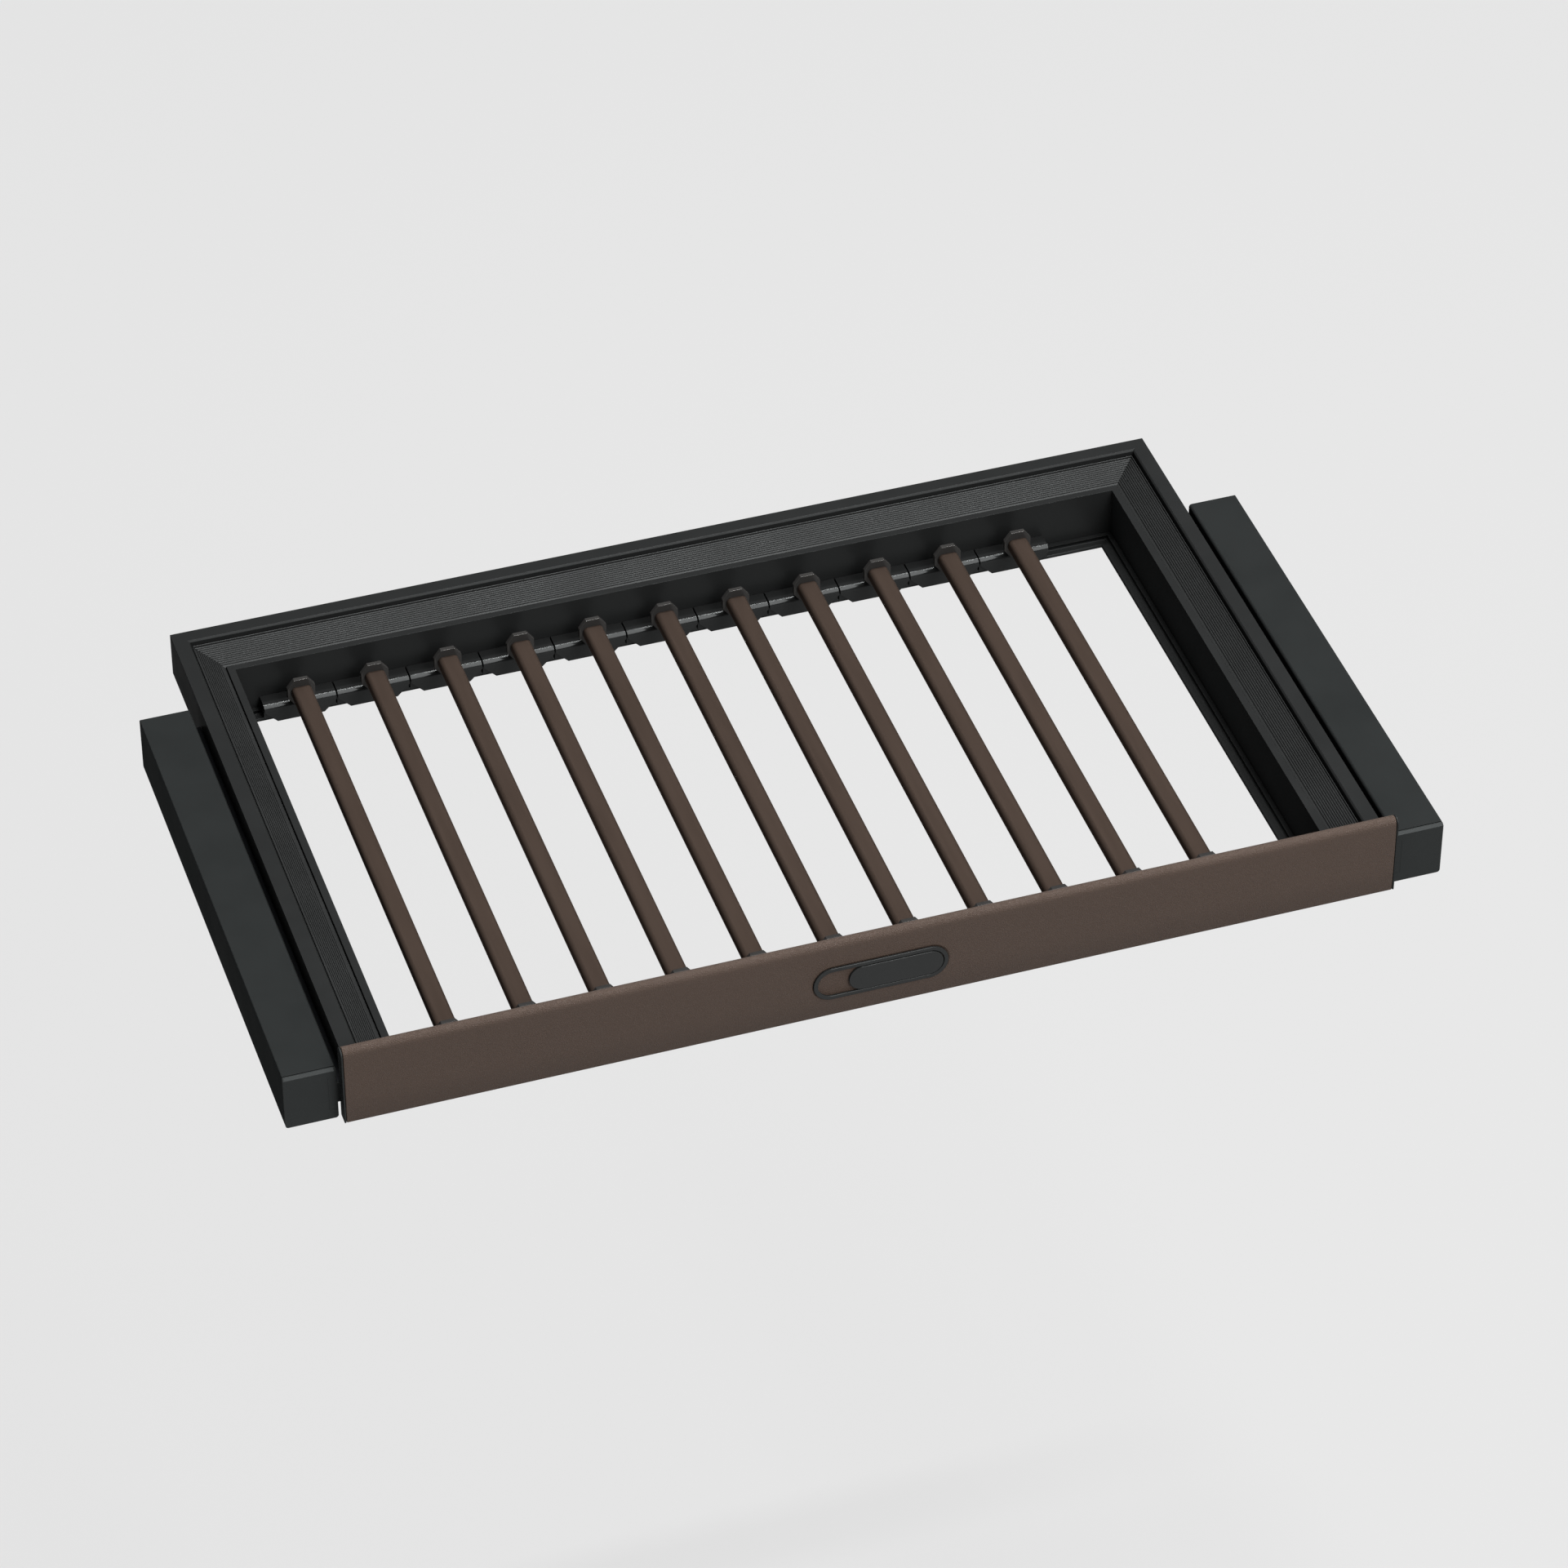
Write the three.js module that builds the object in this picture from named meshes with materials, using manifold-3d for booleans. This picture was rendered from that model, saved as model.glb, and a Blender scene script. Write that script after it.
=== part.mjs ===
// Pull-out trouser rack for a wardrobe, in millimetres: +X to the right, +Y to the back, +Z up.
// A mitred frame of aluminium rails slides out on ball slides between two side housings. Eleven bars
// hang in it on carriers that ride on the frame's inner ledge, and a leather fascia closes its front.
// The origin is under the middle of the rack, level with its lowest edge. The rack is drawn closed.

import * as THREE from 'three';
import { mergeVertices } from 'three/addons/utils/BufferGeometryUtils.js';
import Module from 'manifold-3d';

// Space in the wardrobe and the gap that touching pieces keep
const cabinetWidth = 963.26; // clear width between the wardrobe's sides
const frameDepth = 549.8; // rear face of the rear rail to the front ends of the side rails
const fit = 0.3;
const over = 5; // how far a cutter runs past what it cuts

// Side housings, their front caps and the mouths for the slides
const housingWidth = 42.55;
const housingHeight = 51.15;
const housingDrop = 5.28; // its top, below the frame's rim
const housingWall = 2;
const housingRearWall = 2.6;
const housingEdge = 2.5; // rounding of its long edges
const housingTopEdge = 1; // rounding of its outer top edge
const housingLead = 0.83; // its front, ahead of the side rails
const slideGap = 7.08; // frame to housing
const capThickness = 2.63;
const capSeam = 1; // width of the groove behind the cap's face
const capSeamDepth = 1;
const capPlugLength = 8;
const capBevelDrop = 2.4;
const capBevelDepth = 1.83;

// Ball slides: pressed channels of one sheet, nested round two rows of balls
const slideLength = 450;
const travel = 450; // full extension
const middleSetback = 10; // front of the middle channel behind the cabinet channel's
const middleRearSetback = 10;
const drawerLead = 2; // front of the drawer channel ahead of the cabinet channel's
const bumperLead = 0.8; // front of its bumper plate, ahead of its sheet
const slideHeight = 32;
const slideThickness = 13.6;
const mouthPlay = 0.5;
const sheet = 1.2;
const ballDiameter = 2.5;
const ballPlay = 0.1;
const raceBlend = 0.3; // straight run between the middle channel's two races
const cageLength = 200;
const cageSheet = 0.5;
const cagePlay = 0.5;
const cageShoulder = 1; // drop from the inner balls to the cage's bend
const ballsPerRow = 6;
const raceWrap = Math.PI / 6; // how low a race's edge curls, from level with its balls

// Frame rails: rim, sloping tray for the ribbed insert, lip, inner wall and ledge
const railHeight = 41.3;
const railWall = 2;
const rimWidth = 12.4;
const rimBevelWidth = 1.3;
const rimBevelDrop = 1.5;
const trayDepth = 7.5;
const trayFall = 11;
const trayWidth = 24;
const lipHeight = 4.1;
const lipWidth = 6.24;
const frontRailDepth = 19.84;

// Ledge at the foot of the inner wall, with a slot and a drooping nose
const ledgeDrop = 58.9; // its top, below the rim
const ledgeThickness = 4;
const ledgeFlat = 4.26;
const slotWidth = 1.8;
const slotDepth = 2.3;
const noseStep = 1.85; // nose, below the ledge's top
const noseWidth = 6.4;
const crestWidth = 1.5;
const crestFall = 0.25;
const noseFall = 2;
const noseLip = 1.6;
const noseFoot = 1.8;

// Ribbed inserts
const insertOuterGap = 1.4;
const insertInnerGap = 2;
const insertEdgeRise = 3.74; // outer edge, above the tray's floor
const insertEdgeWidth = 0.86;
const insertRise = 2.9; // rib crests, above the tray's floor
const ribDepth = 0.9;
const ribCount = 11;
const borderWidth = 2.3;
const borderRise = 1.9;
const ribShares = [[0, 0], [0.2, 0.8], [0.5, 1], [0.8, 0.8]]; // of a rib's pitch and depth

// Bars, and the carriers that hold them on the ledge
const barCount = 11;
const barWidth = 17;
const barHeight = 12;
const barEdge = 3.5;
const barWall = 1.5;
const barDrop = 27.4; // its top, below the rim
const leftFreeLedge = 5.7;
const rightFreeLedge = 49.8;
const carrierHeight = 11;
const carrierNose = 5; // rounding of its front top edge
const apronThickness = 3.5;
const apronOverhang = 0.3; // below the ledge's nose
const uprightWidth = 14;
const uprightBack = 8; // from the rail's inner wall
const uprightLean = 6.5;
const uprightStep = 7.4; // below the collar's top
const sink = 1; // how deep a joined piece starts in the one that carries it
const bossLength = 2.3;
const collarWidth = 23.7;
const collarHeight = 25.6;
const collarThickness = 4;
const collarCornerWidth = 5.95;
const collarCornerHeight = 7.9;
const collarBevel = 0.7;
const spigotLength = 15;

// Fascia: a board in a leather cover, its end caps and its badge
const fasciaThickness = 11.36;
const fasciaRise = 18.6; // above the rim
const fasciaDrop = 54.9; // below the rim
const fasciaEdge = 2; // rounding of its bottom edges
const leather = 1.8;
const fasciaCap = 1.45;
const fasciaMargin = 1.88; // fascia's end to the housing's inner face
const pocketDepth = 1;
const badgeDrop = 21.2; // its centre, below the rim
const ringWidth = 112;
const ringHeight = 31.6;
const ringBand = 3.5;
const ringProud = 1.2;
const plateWidth = 78.3;
const plateHeight = 23.1;
const plateGap = 0.8;
const plateProud = 1.5;

// Places that follow from the sizes
const housingInside = cabinetWidth / 2 - housingWidth;
const frameWidth = 2 * (housingInside - slideGap);
const trayOuter = rimWidth + rimBevelWidth;
const trayInner = trayOuter + trayWidth;
const lipDrop = trayDepth + trayFall - lipHeight;
const wallFace = trayInner + lipWidth;
const ledgeReach = ledgeFlat + slotWidth + noseWidth;
const ledgeEdge = wallFace + ledgeReach;
const noseTop = -ledgeDrop - noseStep;
const noseEdgeTop = noseTop - crestFall - noseFall;
const noseBottom = noseEdgeTop - noseLip;
const mitreGap = fit * Math.SQRT1_2;
const frontWall = frontRailDepth - frameDepth;
const fasciaBack = -frameDepth - fit;
const fasciaFront = fasciaBack - fasciaThickness;
const slideCentre = -housingDrop - housingHeight / 2;
const capFace = -frameDepth - housingLead;
const housingFront = capFace + capThickness + capSeam;
const mouthHeight = slideHeight + 2 * mouthPlay;
const mouthDepth = slideThickness + 2 * fit - slideGap;
const apronBottom = noseBottom - apronOverhang;
const carrierTop = carrierHeight - ledgeDrop;
const carrierPitch = (frameWidth - 2 * ledgeEdge - leftFreeLedge - rightFreeLedge) / barCount;
const carrierFront = ledgeReach + fit + apronThickness;
const collarBack = carrierFront + bossLength;
const collarFace = collarBack + collarThickness;
const barCentre = -barDrop - barHeight / 2;

// Solids for cutting and joining
const wasm = await Module();
wasm.setup();

function welded(geometry) {
  const bare = geometry.clone();
  bare.deleteAttribute('normal');
  bare.deleteAttribute('uv');
  return mergeVertices(bare);
}

function solid(geometry) {
  const mesh = welded(geometry);
  const vertProperties = new Float32Array(mesh.attributes.position.array);
  const triVerts = new Uint32Array(mesh.index.array);
  return new wasm.Manifold(new wasm.Mesh({ numProp: 3, vertProperties, triVerts }));
}

function surface(body) {
  const mesh = body.getMesh();
  const geometry = new THREE.BufferGeometry();
  geometry.setAttribute('position', new THREE.BufferAttribute(mesh.vertProperties, 3));
  geometry.setIndex(new THREE.BufferAttribute(mesh.triVerts, 1));
  geometry.computeVertexNormals();
  return geometry;
}

function cut(geometry, tools) {
  return surface(tools.reduce((body, tool) => body.subtract(solid(tool)), solid(geometry)));
}

function join(pieces) {
  return surface(pieces.map(solid).reduce((body, piece) => body.add(piece)));
}

function mirrored(geometry) {
  const copy = welded(geometry).scale(-1, 1, 1);
  const corners = copy.index.array;
  for (let i = 0; i < corners.length; i += 3) {
    [corners[i], corners[i + 1]] = [corners[i + 1], corners[i]];
  }
  copy.computeVertexNormals();
  return copy;
}

// Outlines, as lists of points

function arc([x, y], radius, from, to, chords = 4) {
  return Array.from({ length: chords + 1 }, (_, i) => {
    const angle = from + (to - from) * i / chords;
    return [x + radius * Math.cos(angle), y + radius * Math.sin(angle)];
  });
}

// Corners [x, y, radius] joined by straight sides, each rounded where it has a radius
function rounded(corners, chords = 4) {
  const points = [];
  corners.forEach(([x, y, radius = 0], i) => {
    const corner = new THREE.Vector2(x, y);
    const last = new THREE.Vector2(...corners.at(i - 1)).sub(corner);
    const next = new THREE.Vector2(...corners[(i + 1) % corners.length]).sub(corner);
    const half = last.angleTo(next) / 2;
    const reach = Math.min(radius / Math.tan(half), last.length() / 2, next.length() / 2);
    if (reach <= 0) {
      points.push([x, y]);
      return;
    }
    const middle = last.clone().normalize().add(next.clone().normalize()).normalize();
    const centre = middle.multiplyScalar(reach / Math.cos(half)).add(corner);
    const start = last.setLength(reach).add(corner).sub(centre);
    const end = next.setLength(reach).add(corner).sub(centre);
    const turn = Math.atan2(start.cross(end), start.dot(end));
    const from = start.angle();
    points.push(...arc([centre.x, centre.y], start.length(), from, from + turn, chords));
  });
  return points.filter(([x, y], i) => {
    const [lastX, lastY] = points.at(i - 1);
    return Math.hypot(x - lastX, y - lastY) > fit / 100;
  });
}

function rectangle(left, bottom, right, top, radius = 0, chords = 4) {
  const corners = [[left, bottom], [right, bottom], [right, top], [left, top]];
  return rounded(corners.map((corner) => [...corner, radius]), chords);
}

// A strip of sheet along a centre line, with square ends and mitred bends
function strip(line, thickness) {
  const points = line.map((point) => new THREE.Vector2(...point));
  const side = (sign) => points.map((point, i) => {
    const into = point.clone().sub(points[Math.max(i - 1, 0)]).normalize();
    const out = points[Math.min(i + 1, points.length - 1)].clone().sub(point).normalize();
    const along = into.clone().add(out).normalize();
    const lean = along.dot(i ? into : out);
    const shift = sign * thickness / 2 / lean;
    return [point.x - along.y * shift, point.y + along.x * shift];
  });
  return [...side(1), ...side(-1).reverse()];
}

// The upper half of a centre line, with the lower half below it
function upAndDown(upper) {
  return [...upper.map(([x, z]) => [x, -z]).reverse(), ...upper];
}

function turned(outline, clockwise) {
  const points = outline.map((point) => new THREE.Vector2(...point));
  return THREE.ShapeUtils.isClockWise(points) === clockwise ? points : points.reverse();
}

function shapeOf(outline, holes = []) {
  const shape = new THREE.Shape(turned(outline, false));
  shape.holes = holes.map((hole) => new THREE.Path(turned(hole, true)));
  return shape;
}

// Extrusions. An outline in x and z runs forward, one in y and z runs across, one in x and y stands up

function forward(outline, length, holes = []) {
  const geometry = new THREE.ExtrudeGeometry(shapeOf(outline, holes), { depth: length, bevelEnabled: false });
  return geometry.rotateX(Math.PI / 2);
}

function across(outline, width, holes = []) {
  const geometry = new THREE.ExtrudeGeometry(shapeOf(outline, holes), { depth: width, bevelEnabled: false });
  const turn = new THREE.Matrix4().makeBasis(
    new THREE.Vector3(0, 1, 0),
    new THREE.Vector3(0, 0, 1),
    new THREE.Vector3(1, 0, 0),
  );
  return geometry.applyMatrix4(turn).translate(-width / 2, 0, 0);
}

function planCutter(outline) {
  const height = over - apronBottom + over;
  const geometry = new THREE.ExtrudeGeometry(shapeOf(outline), { depth: height, bevelEnabled: false });
  return geometry.translate(0, 0, apronBottom - over);
}

// Frame rails, drawn running forward from y = 0 with x measured inboard from the outer face

function trayFloor(inboard) {
  return -trayDepth - trayFall * (inboard - trayOuter) / trayWidth;
}

function ledgeOutline(wall) {
  const slot = wall + ledgeFlat;
  const nose = slot + slotWidth;
  const edge = wall + ledgeReach;
  const underside = -ledgeDrop - ledgeThickness;
  return [
    [wall, -ledgeDrop],
    [slot, -ledgeDrop],
    [slot, -ledgeDrop - slotDepth],
    [nose, -ledgeDrop - slotDepth],
    [nose, noseTop],
    [nose + crestWidth, noseTop - crestFall],
    [edge, noseEdgeTop],
    [edge, noseBottom],
    [edge - noseFoot, noseBottom],
    [nose + crestWidth, underside],
    [wall - railWall, underside],
    [wall - railWall, -railHeight],
  ];
}

function railBar(length) {
  const outline = [
    [0, -railHeight],
    [0, 0],
    [rimWidth, 0],
    [trayOuter, -rimBevelDrop],
    [trayOuter, -trayDepth],
    [trayInner, trayFloor(trayInner)],
    [trayInner, -lipDrop],
    [wallFace, -lipDrop],
    ...ledgeOutline(wallFace),
  ];
  const web = trayOuter - railWall;
  const inner = wallFace - railWall;
  const chamber = [
    [railWall, railWall - railHeight],
    [railWall, -railWall],
    [web, -railWall],
    [web, trayFloor(web) - railWall],
    [inner, trayFloor(inner) - railWall],
    [inner, railWall - railHeight],
  ];
  return forward(outline, length, [chamber]);
}

function insertBar(length) {
  const outer = trayOuter + insertOuterGap;
  const inner = trayInner - insertInnerGap;
  const ribStart = outer + insertEdgeWidth;
  const ribPitch = (inner - borderWidth - ribStart) / ribCount;
  const above = (inboard, rise) => [inboard, trayFloor(inboard) + rise];
  const ribs = Array.from({ length: ribCount }, (_, rib) => ribShares.map(([along, up]) => (
    above(ribStart + (rib + along) * ribPitch, insertRise - ribDepth * (1 - up))
  )));
  const outline = [
    above(outer, fit),
    above(outer, insertEdgeRise),
    ...ribs.flat(),
    above(inner - borderWidth, borderRise),
    above(inner, borderRise),
    above(inner, fit),
  ];
  return forward(outline, length);
}

// What a 45 degree corner takes off the start of a rail, seen from above, and the same at its far end
function cornerWaste() {
  const reach = ledgeEdge + over;
  return [[-over, over - mitreGap], [reach, -reach - mitreGap], [reach, over], [-over, over]];
}

function atFarEnd(outline, length) {
  return outline.map(([x, y]) => [x, -length - y]);
}

// What the side ledges lose where they meet the front ledge
function sideLedgeWaste() {
  const reach = ledgeReach + over;
  return [
    [wallFace, frontWall + mitreGap],
    [wallFace + reach, frontWall + mitreGap + reach],
    [wallFace + reach, -frameDepth - over],
    [wallFace, -frameDepth - over],
  ];
}

function frontLedgeWaste() {
  const reach = ledgeReach + over;
  const start = fit - mitreGap;
  return [
    [frontRailDepth, over],
    [frontRailDepth, start],
    [frontRailDepth + reach, start - reach],
    [frontRailDepth + reach, over],
  ];
}

function rearBar(bar) {
  const corner = cornerWaste();
  return cut(bar, [planCutter(corner), planCutter(atFarEnd(corner, frameWidth))]);
}

function leftRail() {
  return cut(railBar(frameDepth), [planCutter(cornerWaste()), planCutter(sideLedgeWaste())]);
}

function frontRail(length) {
  const outline = [
    [0, -railHeight],
    [0, -lipDrop],
    [frontRailDepth, -lipDrop],
    ...ledgeOutline(frontRailDepth),
  ];
  const far = frontRailDepth - railWall;
  const chamber = rectangle(railWall, railWall - railHeight, far, -lipDrop - railWall);
  const waste = frontLedgeWaste();
  return cut(forward(outline, length, [chamber]), [planCutter(waste), planCutter(atFarEnd(waste, length))]);
}

// Housing sections, with x inboard from the wardrobe's side and z from the middle of the slide

function housingOutline(inset, withMouth) {
  const right = housingWidth - inset;
  const top = housingHeight / 2 - inset;
  const mouthFloor = housingWidth - mouthDepth;
  const mouthTop = mouthHeight / 2;
  const mouth = [[right, mouthTop], [mouthFloor, mouthTop], [mouthFloor, -mouthTop], [right, -mouthTop]];
  return rounded([
    [inset, -top, housingEdge],
    [inset, top, housingTopEdge],
    [right, top, housingEdge],
    ...(withMouth ? mouth : []),
    [right, -top, housingEdge],
  ], 3);
}

function chamberOutline(inset) {
  const left = housingWall + inset;
  const right = housingWidth - mouthDepth - housingWall - inset;
  const top = housingHeight / 2 - housingWall - inset;
  return rectangle(left, -top, right, top);
}

function housing() {
  const length = slideLength + fit + housingRearWall;
  const body = forward(housingOutline(0, true), length, [chamberOutline(0)]);
  return join([body, forward(housingOutline(0, false), housingRearWall)]);
}

// Drawn forward from the housing's open end, with its plug reaching back inside
function frontCap() {
  const neckLength = capSeam + sink - fit;
  const face = forward(housingOutline(0, true), capThickness).translate(0, -capSeam, 0);
  const neck = forward(housingOutline(capSeamDepth, true), neckLength).translate(0, -fit, 0);
  const plug = forward(chamberOutline(fit), capPlugLength + capSeam).translate(0, capPlugLength, 0);
  const front = -capSeam - capThickness;
  const top = housingHeight / 2;
  const slope = capBevelDrop / capBevelDepth;
  const bevel = across([
    [front + capBevelDepth + over, top + over * slope],
    [front - over, top - capBevelDrop - over * slope],
    [front - over, top + over * slope],
  ], 2 * (housingWidth + over));
  return cut(join([face, neck, plug]), [bevel]);
}

// Slide sections, with x inboard from the back of the cabinet channel and z from the slide's middle
const race = ballDiameter / 2 + ballPlay + sheet / 2;
const diagonal = race * Math.SQRT1_2;
const middleWeb = 1.5 * sheet + 2 * cagePlay + cageSheet;
const outerRow = [middleWeb + diagonal, slideHeight / 2 - sheet / 2 - race];
const innerRow = [outerRow[0] + 2 * diagonal + raceBlend, outerRow[1] - 2 * diagonal + raceBlend];

function cabinetSection() {
  const back = sheet / 2;
  const line = [[back, slideHeight / 2 - sheet / 2], ...arc(outerRow, race, Math.PI / 2, raceWrap)];
  return strip(upAndDown(line), sheet);
}

function middleSection() {
  const line = [
    [middleWeb, outerRow[1] - race],
    ...arc(outerRow, race, -Math.PI / 2, -Math.PI / 4, 3),
    ...arc(innerRow, race, 3 * Math.PI / 4, raceWrap, 5),
  ];
  return strip(upAndDown(line), sheet);
}

function drawerSection() {
  const face = slideThickness - sheet / 2;
  const line = [[face, innerRow[1] - race], ...arc(innerRow, race, -Math.PI / 2, -3 * Math.PI / 4, 3)];
  return strip(upAndDown(line), sheet);
}

// The drawer channel, closed in front by a bumper plate that fills the housing's mouth
function drawerChannel() {
  const halfHeight = innerRow[1] - race + sheet / 2;
  const mouthEdge = slideThickness + fit - slideGap;
  const plate = upAndDown([
    [slideThickness, halfHeight],
    [mouthEdge, halfHeight],
    [mouthEdge, slideHeight / 2],
    [0, slideHeight / 2],
  ]);
  const bumper = forward(plate, sink + bumperLead).translate(0, sink - slideLength, 0);
  return join([forward(drawerSection(), slideLength), bumper]);
}

function outerCageSection() {
  const web = sheet + cagePlay + cageSheet / 2;
  return strip(upAndDown([[web, outerRow[1]], outerRow]), cageSheet);
}

function innerCageSection() {
  const web = middleWeb + sheet / 2 + cagePlay + cageSheet / 2;
  return strip(upAndDown([[web, innerRow[1] - cageShoulder], innerRow]), cageSheet);
}

function ballCage(section, [rowX, rowZ]) {
  const spacing = cageLength / ballsPerRow;
  const balls = Array.from({ length: 2 * ballsPerRow }, (_, i) => {
    const along = -spacing * (Math.floor(i / 2) + 0.5);
    const ball = new THREE.SphereGeometry(ballDiameter / 2, 6, 4);
    return ball.translate(rowX, along, i % 2 ? rowZ : -rowZ);
  });
  return join([forward(section, cageLength), ...balls]);
}

// Bars and carriers. A carrier is drawn with y out from the rail's inner wall, towards its bar

function barOutline(inset, chords) {
  const halfWidth = barWidth / 2 - inset;
  const halfHeight = barHeight / 2 - inset;
  const edge = Math.max(barEdge - inset, 0);
  return rectangle(-halfWidth, -halfHeight, halfWidth, halfHeight, edge, chords);
}

function bar(length) {
  return forward(barOutline(0, 4), length, [barOutline(barWall, 3)]);
}

function carrierSeat(width) {
  const nose = ledgeFlat + slotWidth;
  const apron = ledgeReach + fit;
  return across(rounded([
    [fit, fit - ledgeDrop],
    [ledgeFlat + fit, fit - ledgeDrop],
    [ledgeFlat + fit, fit - ledgeDrop - slotDepth],
    [nose - fit, fit - ledgeDrop - slotDepth],
    [nose - fit, fit + noseTop],
    [nose + crestWidth, fit + noseTop - crestFall],
    [apron, fit + noseEdgeTop],
    [apron, apronBottom],
    [carrierFront, apronBottom],
    [carrierFront, carrierTop, carrierNose],
    [fit, carrierTop],
  ], 5), width);
}

// The corner that the apron loses beside each seam, at the right for a side of 1
function apronCorner(width, side) {
  const height = carrierTop - carrierNose - apronBottom;
  const edge = width / 2;
  const corner = forward([
    [side * (edge + over), apronBottom + height + over],
    [side * (edge - height - over), apronBottom - over],
    [side * (edge + over), apronBottom - over],
  ], apronThickness + over);
  return corner.translate(0, carrierFront + over, 0);
}

function upright(collarTop) {
  const collarBottom = collarTop - collarHeight;
  const top = collarTop - uprightStep;
  return across([
    [uprightBack, carrierTop - sink],
    [uprightBack + uprightLean, top],
    [collarBack + sink, top],
    [collarBack + sink, collarBottom + sink],
    [collarBack, collarBottom + sink],
    [carrierFront - carrierNose, carrierTop - sink],
  ], uprightWidth);
}

function collar() {
  const right = collarWidth / 2;
  const top = collarHeight / 2;
  const inRight = right - collarCornerWidth;
  const inTop = top - collarCornerHeight;
  const corners = [
    [inRight, top], [right, inTop], [right, -inTop], [inRight, -top],
    [-inRight, -top], [-right, -inTop], [-right, inTop], [-inRight, top],
  ];
  const geometry = new THREE.ExtrudeGeometry(shapeOf(corners), {
    depth: collarThickness - 2 * collarBevel,
    bevelThickness: collarBevel,
    bevelSize: collarBevel,
    bevelOffset: -collarBevel,
    bevelSegments: 1,
  });
  return geometry.translate(0, 0, collarBevel).rotateX(Math.PI / 2).translate(0, collarFace, barCentre);
}

function carrier(width) {
  const seat = cut(carrierSeat(width), [apronCorner(width, -1), apronCorner(width, 1)]);
  const spigot = forward(barOutline(barWall + fit, 1), spigotLength + sink);
  spigot.translate(0, collarFace + spigotLength, barCentre);
  return join([seat, upright(barCentre + collarHeight / 2), collar(), spigot]);
}

// Fascia, drawn with y back from its front face

function fasciaOutline(inset) {
  const back = fasciaThickness - inset;
  const crown = fasciaThickness / 2 - inset;
  const foot = Math.max(fasciaEdge - inset, 0);
  return rounded([
    [inset, inset - fasciaDrop, foot],
    [back, inset - fasciaDrop, foot],
    [back, fasciaRise - inset, crown],
    [inset, fasciaRise - inset, crown],
  ], 5);
}

function racetrack(width, height, chords = 6) {
  return rectangle(-width / 2, -height / 2, width / 2, height / 2, height / 2, chords);
}

function leatherCover(width) {
  const cover = across(fasciaOutline(0), width, [fasciaOutline(leather)]);
  const pocket = forward(racetrack(ringWidth + 2 * fit, ringHeight + 2 * fit), pocketDepth + over);
  return cut(cover, [pocket.translate(0, pocketDepth, -badgeDrop)]);
}

function badgeRing() {
  const inside = racetrack(ringWidth - 2 * ringBand, ringHeight - 2 * ringBand);
  return forward(racetrack(ringWidth, ringHeight), pocketDepth - fit + ringProud, [inside]);
}

function badgePlate() {
  return forward(racetrack(plateWidth, plateHeight), pocketDepth - fit + plateProud);
}

// Finishes

function blackCoat() {
  return new THREE.MeshStandardMaterial({ color: 0x333433, roughness: 0.45, metalness: 0.35 });
}

function blackPlastic() {
  return new THREE.MeshStandardMaterial({ color: 0x2a2b2b, roughness: 0.5, metalness: 0 });
}

function ribbedRubber() {
  return new THREE.MeshStandardMaterial({ color: 0x3a3b3a, roughness: 0.7, metalness: 0 });
}

function brownBarCoat() {
  return new THREE.MeshStandardMaterial({ color: 0x4e4038, roughness: 0.5, metalness: 0.1 });
}

function brownLeather() {
  return new THREE.MeshStandardMaterial({ color: 0x4e423b, roughness: 0.6, metalness: 0 });
}

function darkSteel() {
  return new THREE.MeshStandardMaterial({ color: 0x3c3e40, roughness: 0.4, metalness: 0.8 });
}

function fibreboard() {
  return new THREE.MeshStandardMaterial({ color: 0x8b7355, roughness: 0.9, metalness: 0 });
}

// Assembly

const rack = new THREE.Group();
rack.name = 'trouser_rack';
rack.position.set(0, (plateProud - fasciaFront) / 2, -apronBottom);

function add(name, geometry, material, [x, y, z] = [0, 0, 0], turn = 0) {
  const mesh = new THREE.Mesh(geometry, material);
  mesh.name = name;
  mesh.position.set(x, y, z);
  mesh.rotation.z = turn;
  rack.add(mesh);
}

// A left-hand piece and its mirror image on the right
function addPair(name, geometry, material, [x, y, z]) {
  add(`left_${name}`, geometry, material(), [x, y, z]);
  add(`right_${name}`, mirrored(geometry), material(), [-x, y, z]);
}

const cabinetSide = -cabinetWidth / 2;
const housingRear = housingFront + slideLength + fit + housingRearWall;
addPair('housing', housing(), blackCoat, [cabinetSide, housingRear, slideCentre]);
addPair('front_cap', frontCap(), blackPlastic, [cabinetSide, housingFront, slideCentre]);

// The cages sit so that they stay between their channels from closed to full extension
const slideBack = -frameWidth / 2 - fit - slideThickness;
const middleFront = housingFront + middleSetback;
const middleRear = housingFront + slideLength - middleRearSetback;
const drawerFront = housingFront - drawerLead;
const openOuterMiddle = (housingFront + middleRear - travel / 2) / 2;
const openInnerMiddle = (middleFront - travel / 2 + drawerFront + slideLength - travel) / 2;
const outerCageRear = openOuterMiddle + travel / 4 + cageLength / 2;
const innerCageRear = openInnerMiddle + 3 * travel / 4 + cageLength / 2;

function addSlidePiece(name, geometry, rear) {
  addPair(name, geometry, darkSteel, [slideBack, rear, slideCentre]);
}

addSlidePiece('cabinet_channel', forward(cabinetSection(), slideLength), housingFront + slideLength);
addSlidePiece('middle_channel', forward(middleSection(), middleRear - middleFront), middleRear);
addSlidePiece('drawer_channel', drawerChannel(), drawerFront + slideLength);
addSlidePiece('outer_ball_cage', ballCage(outerCageSection(), outerRow), outerCageRear);
addSlidePiece('inner_ball_cage', ballCage(innerCageSection(), innerRow), innerCageRear);

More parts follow.
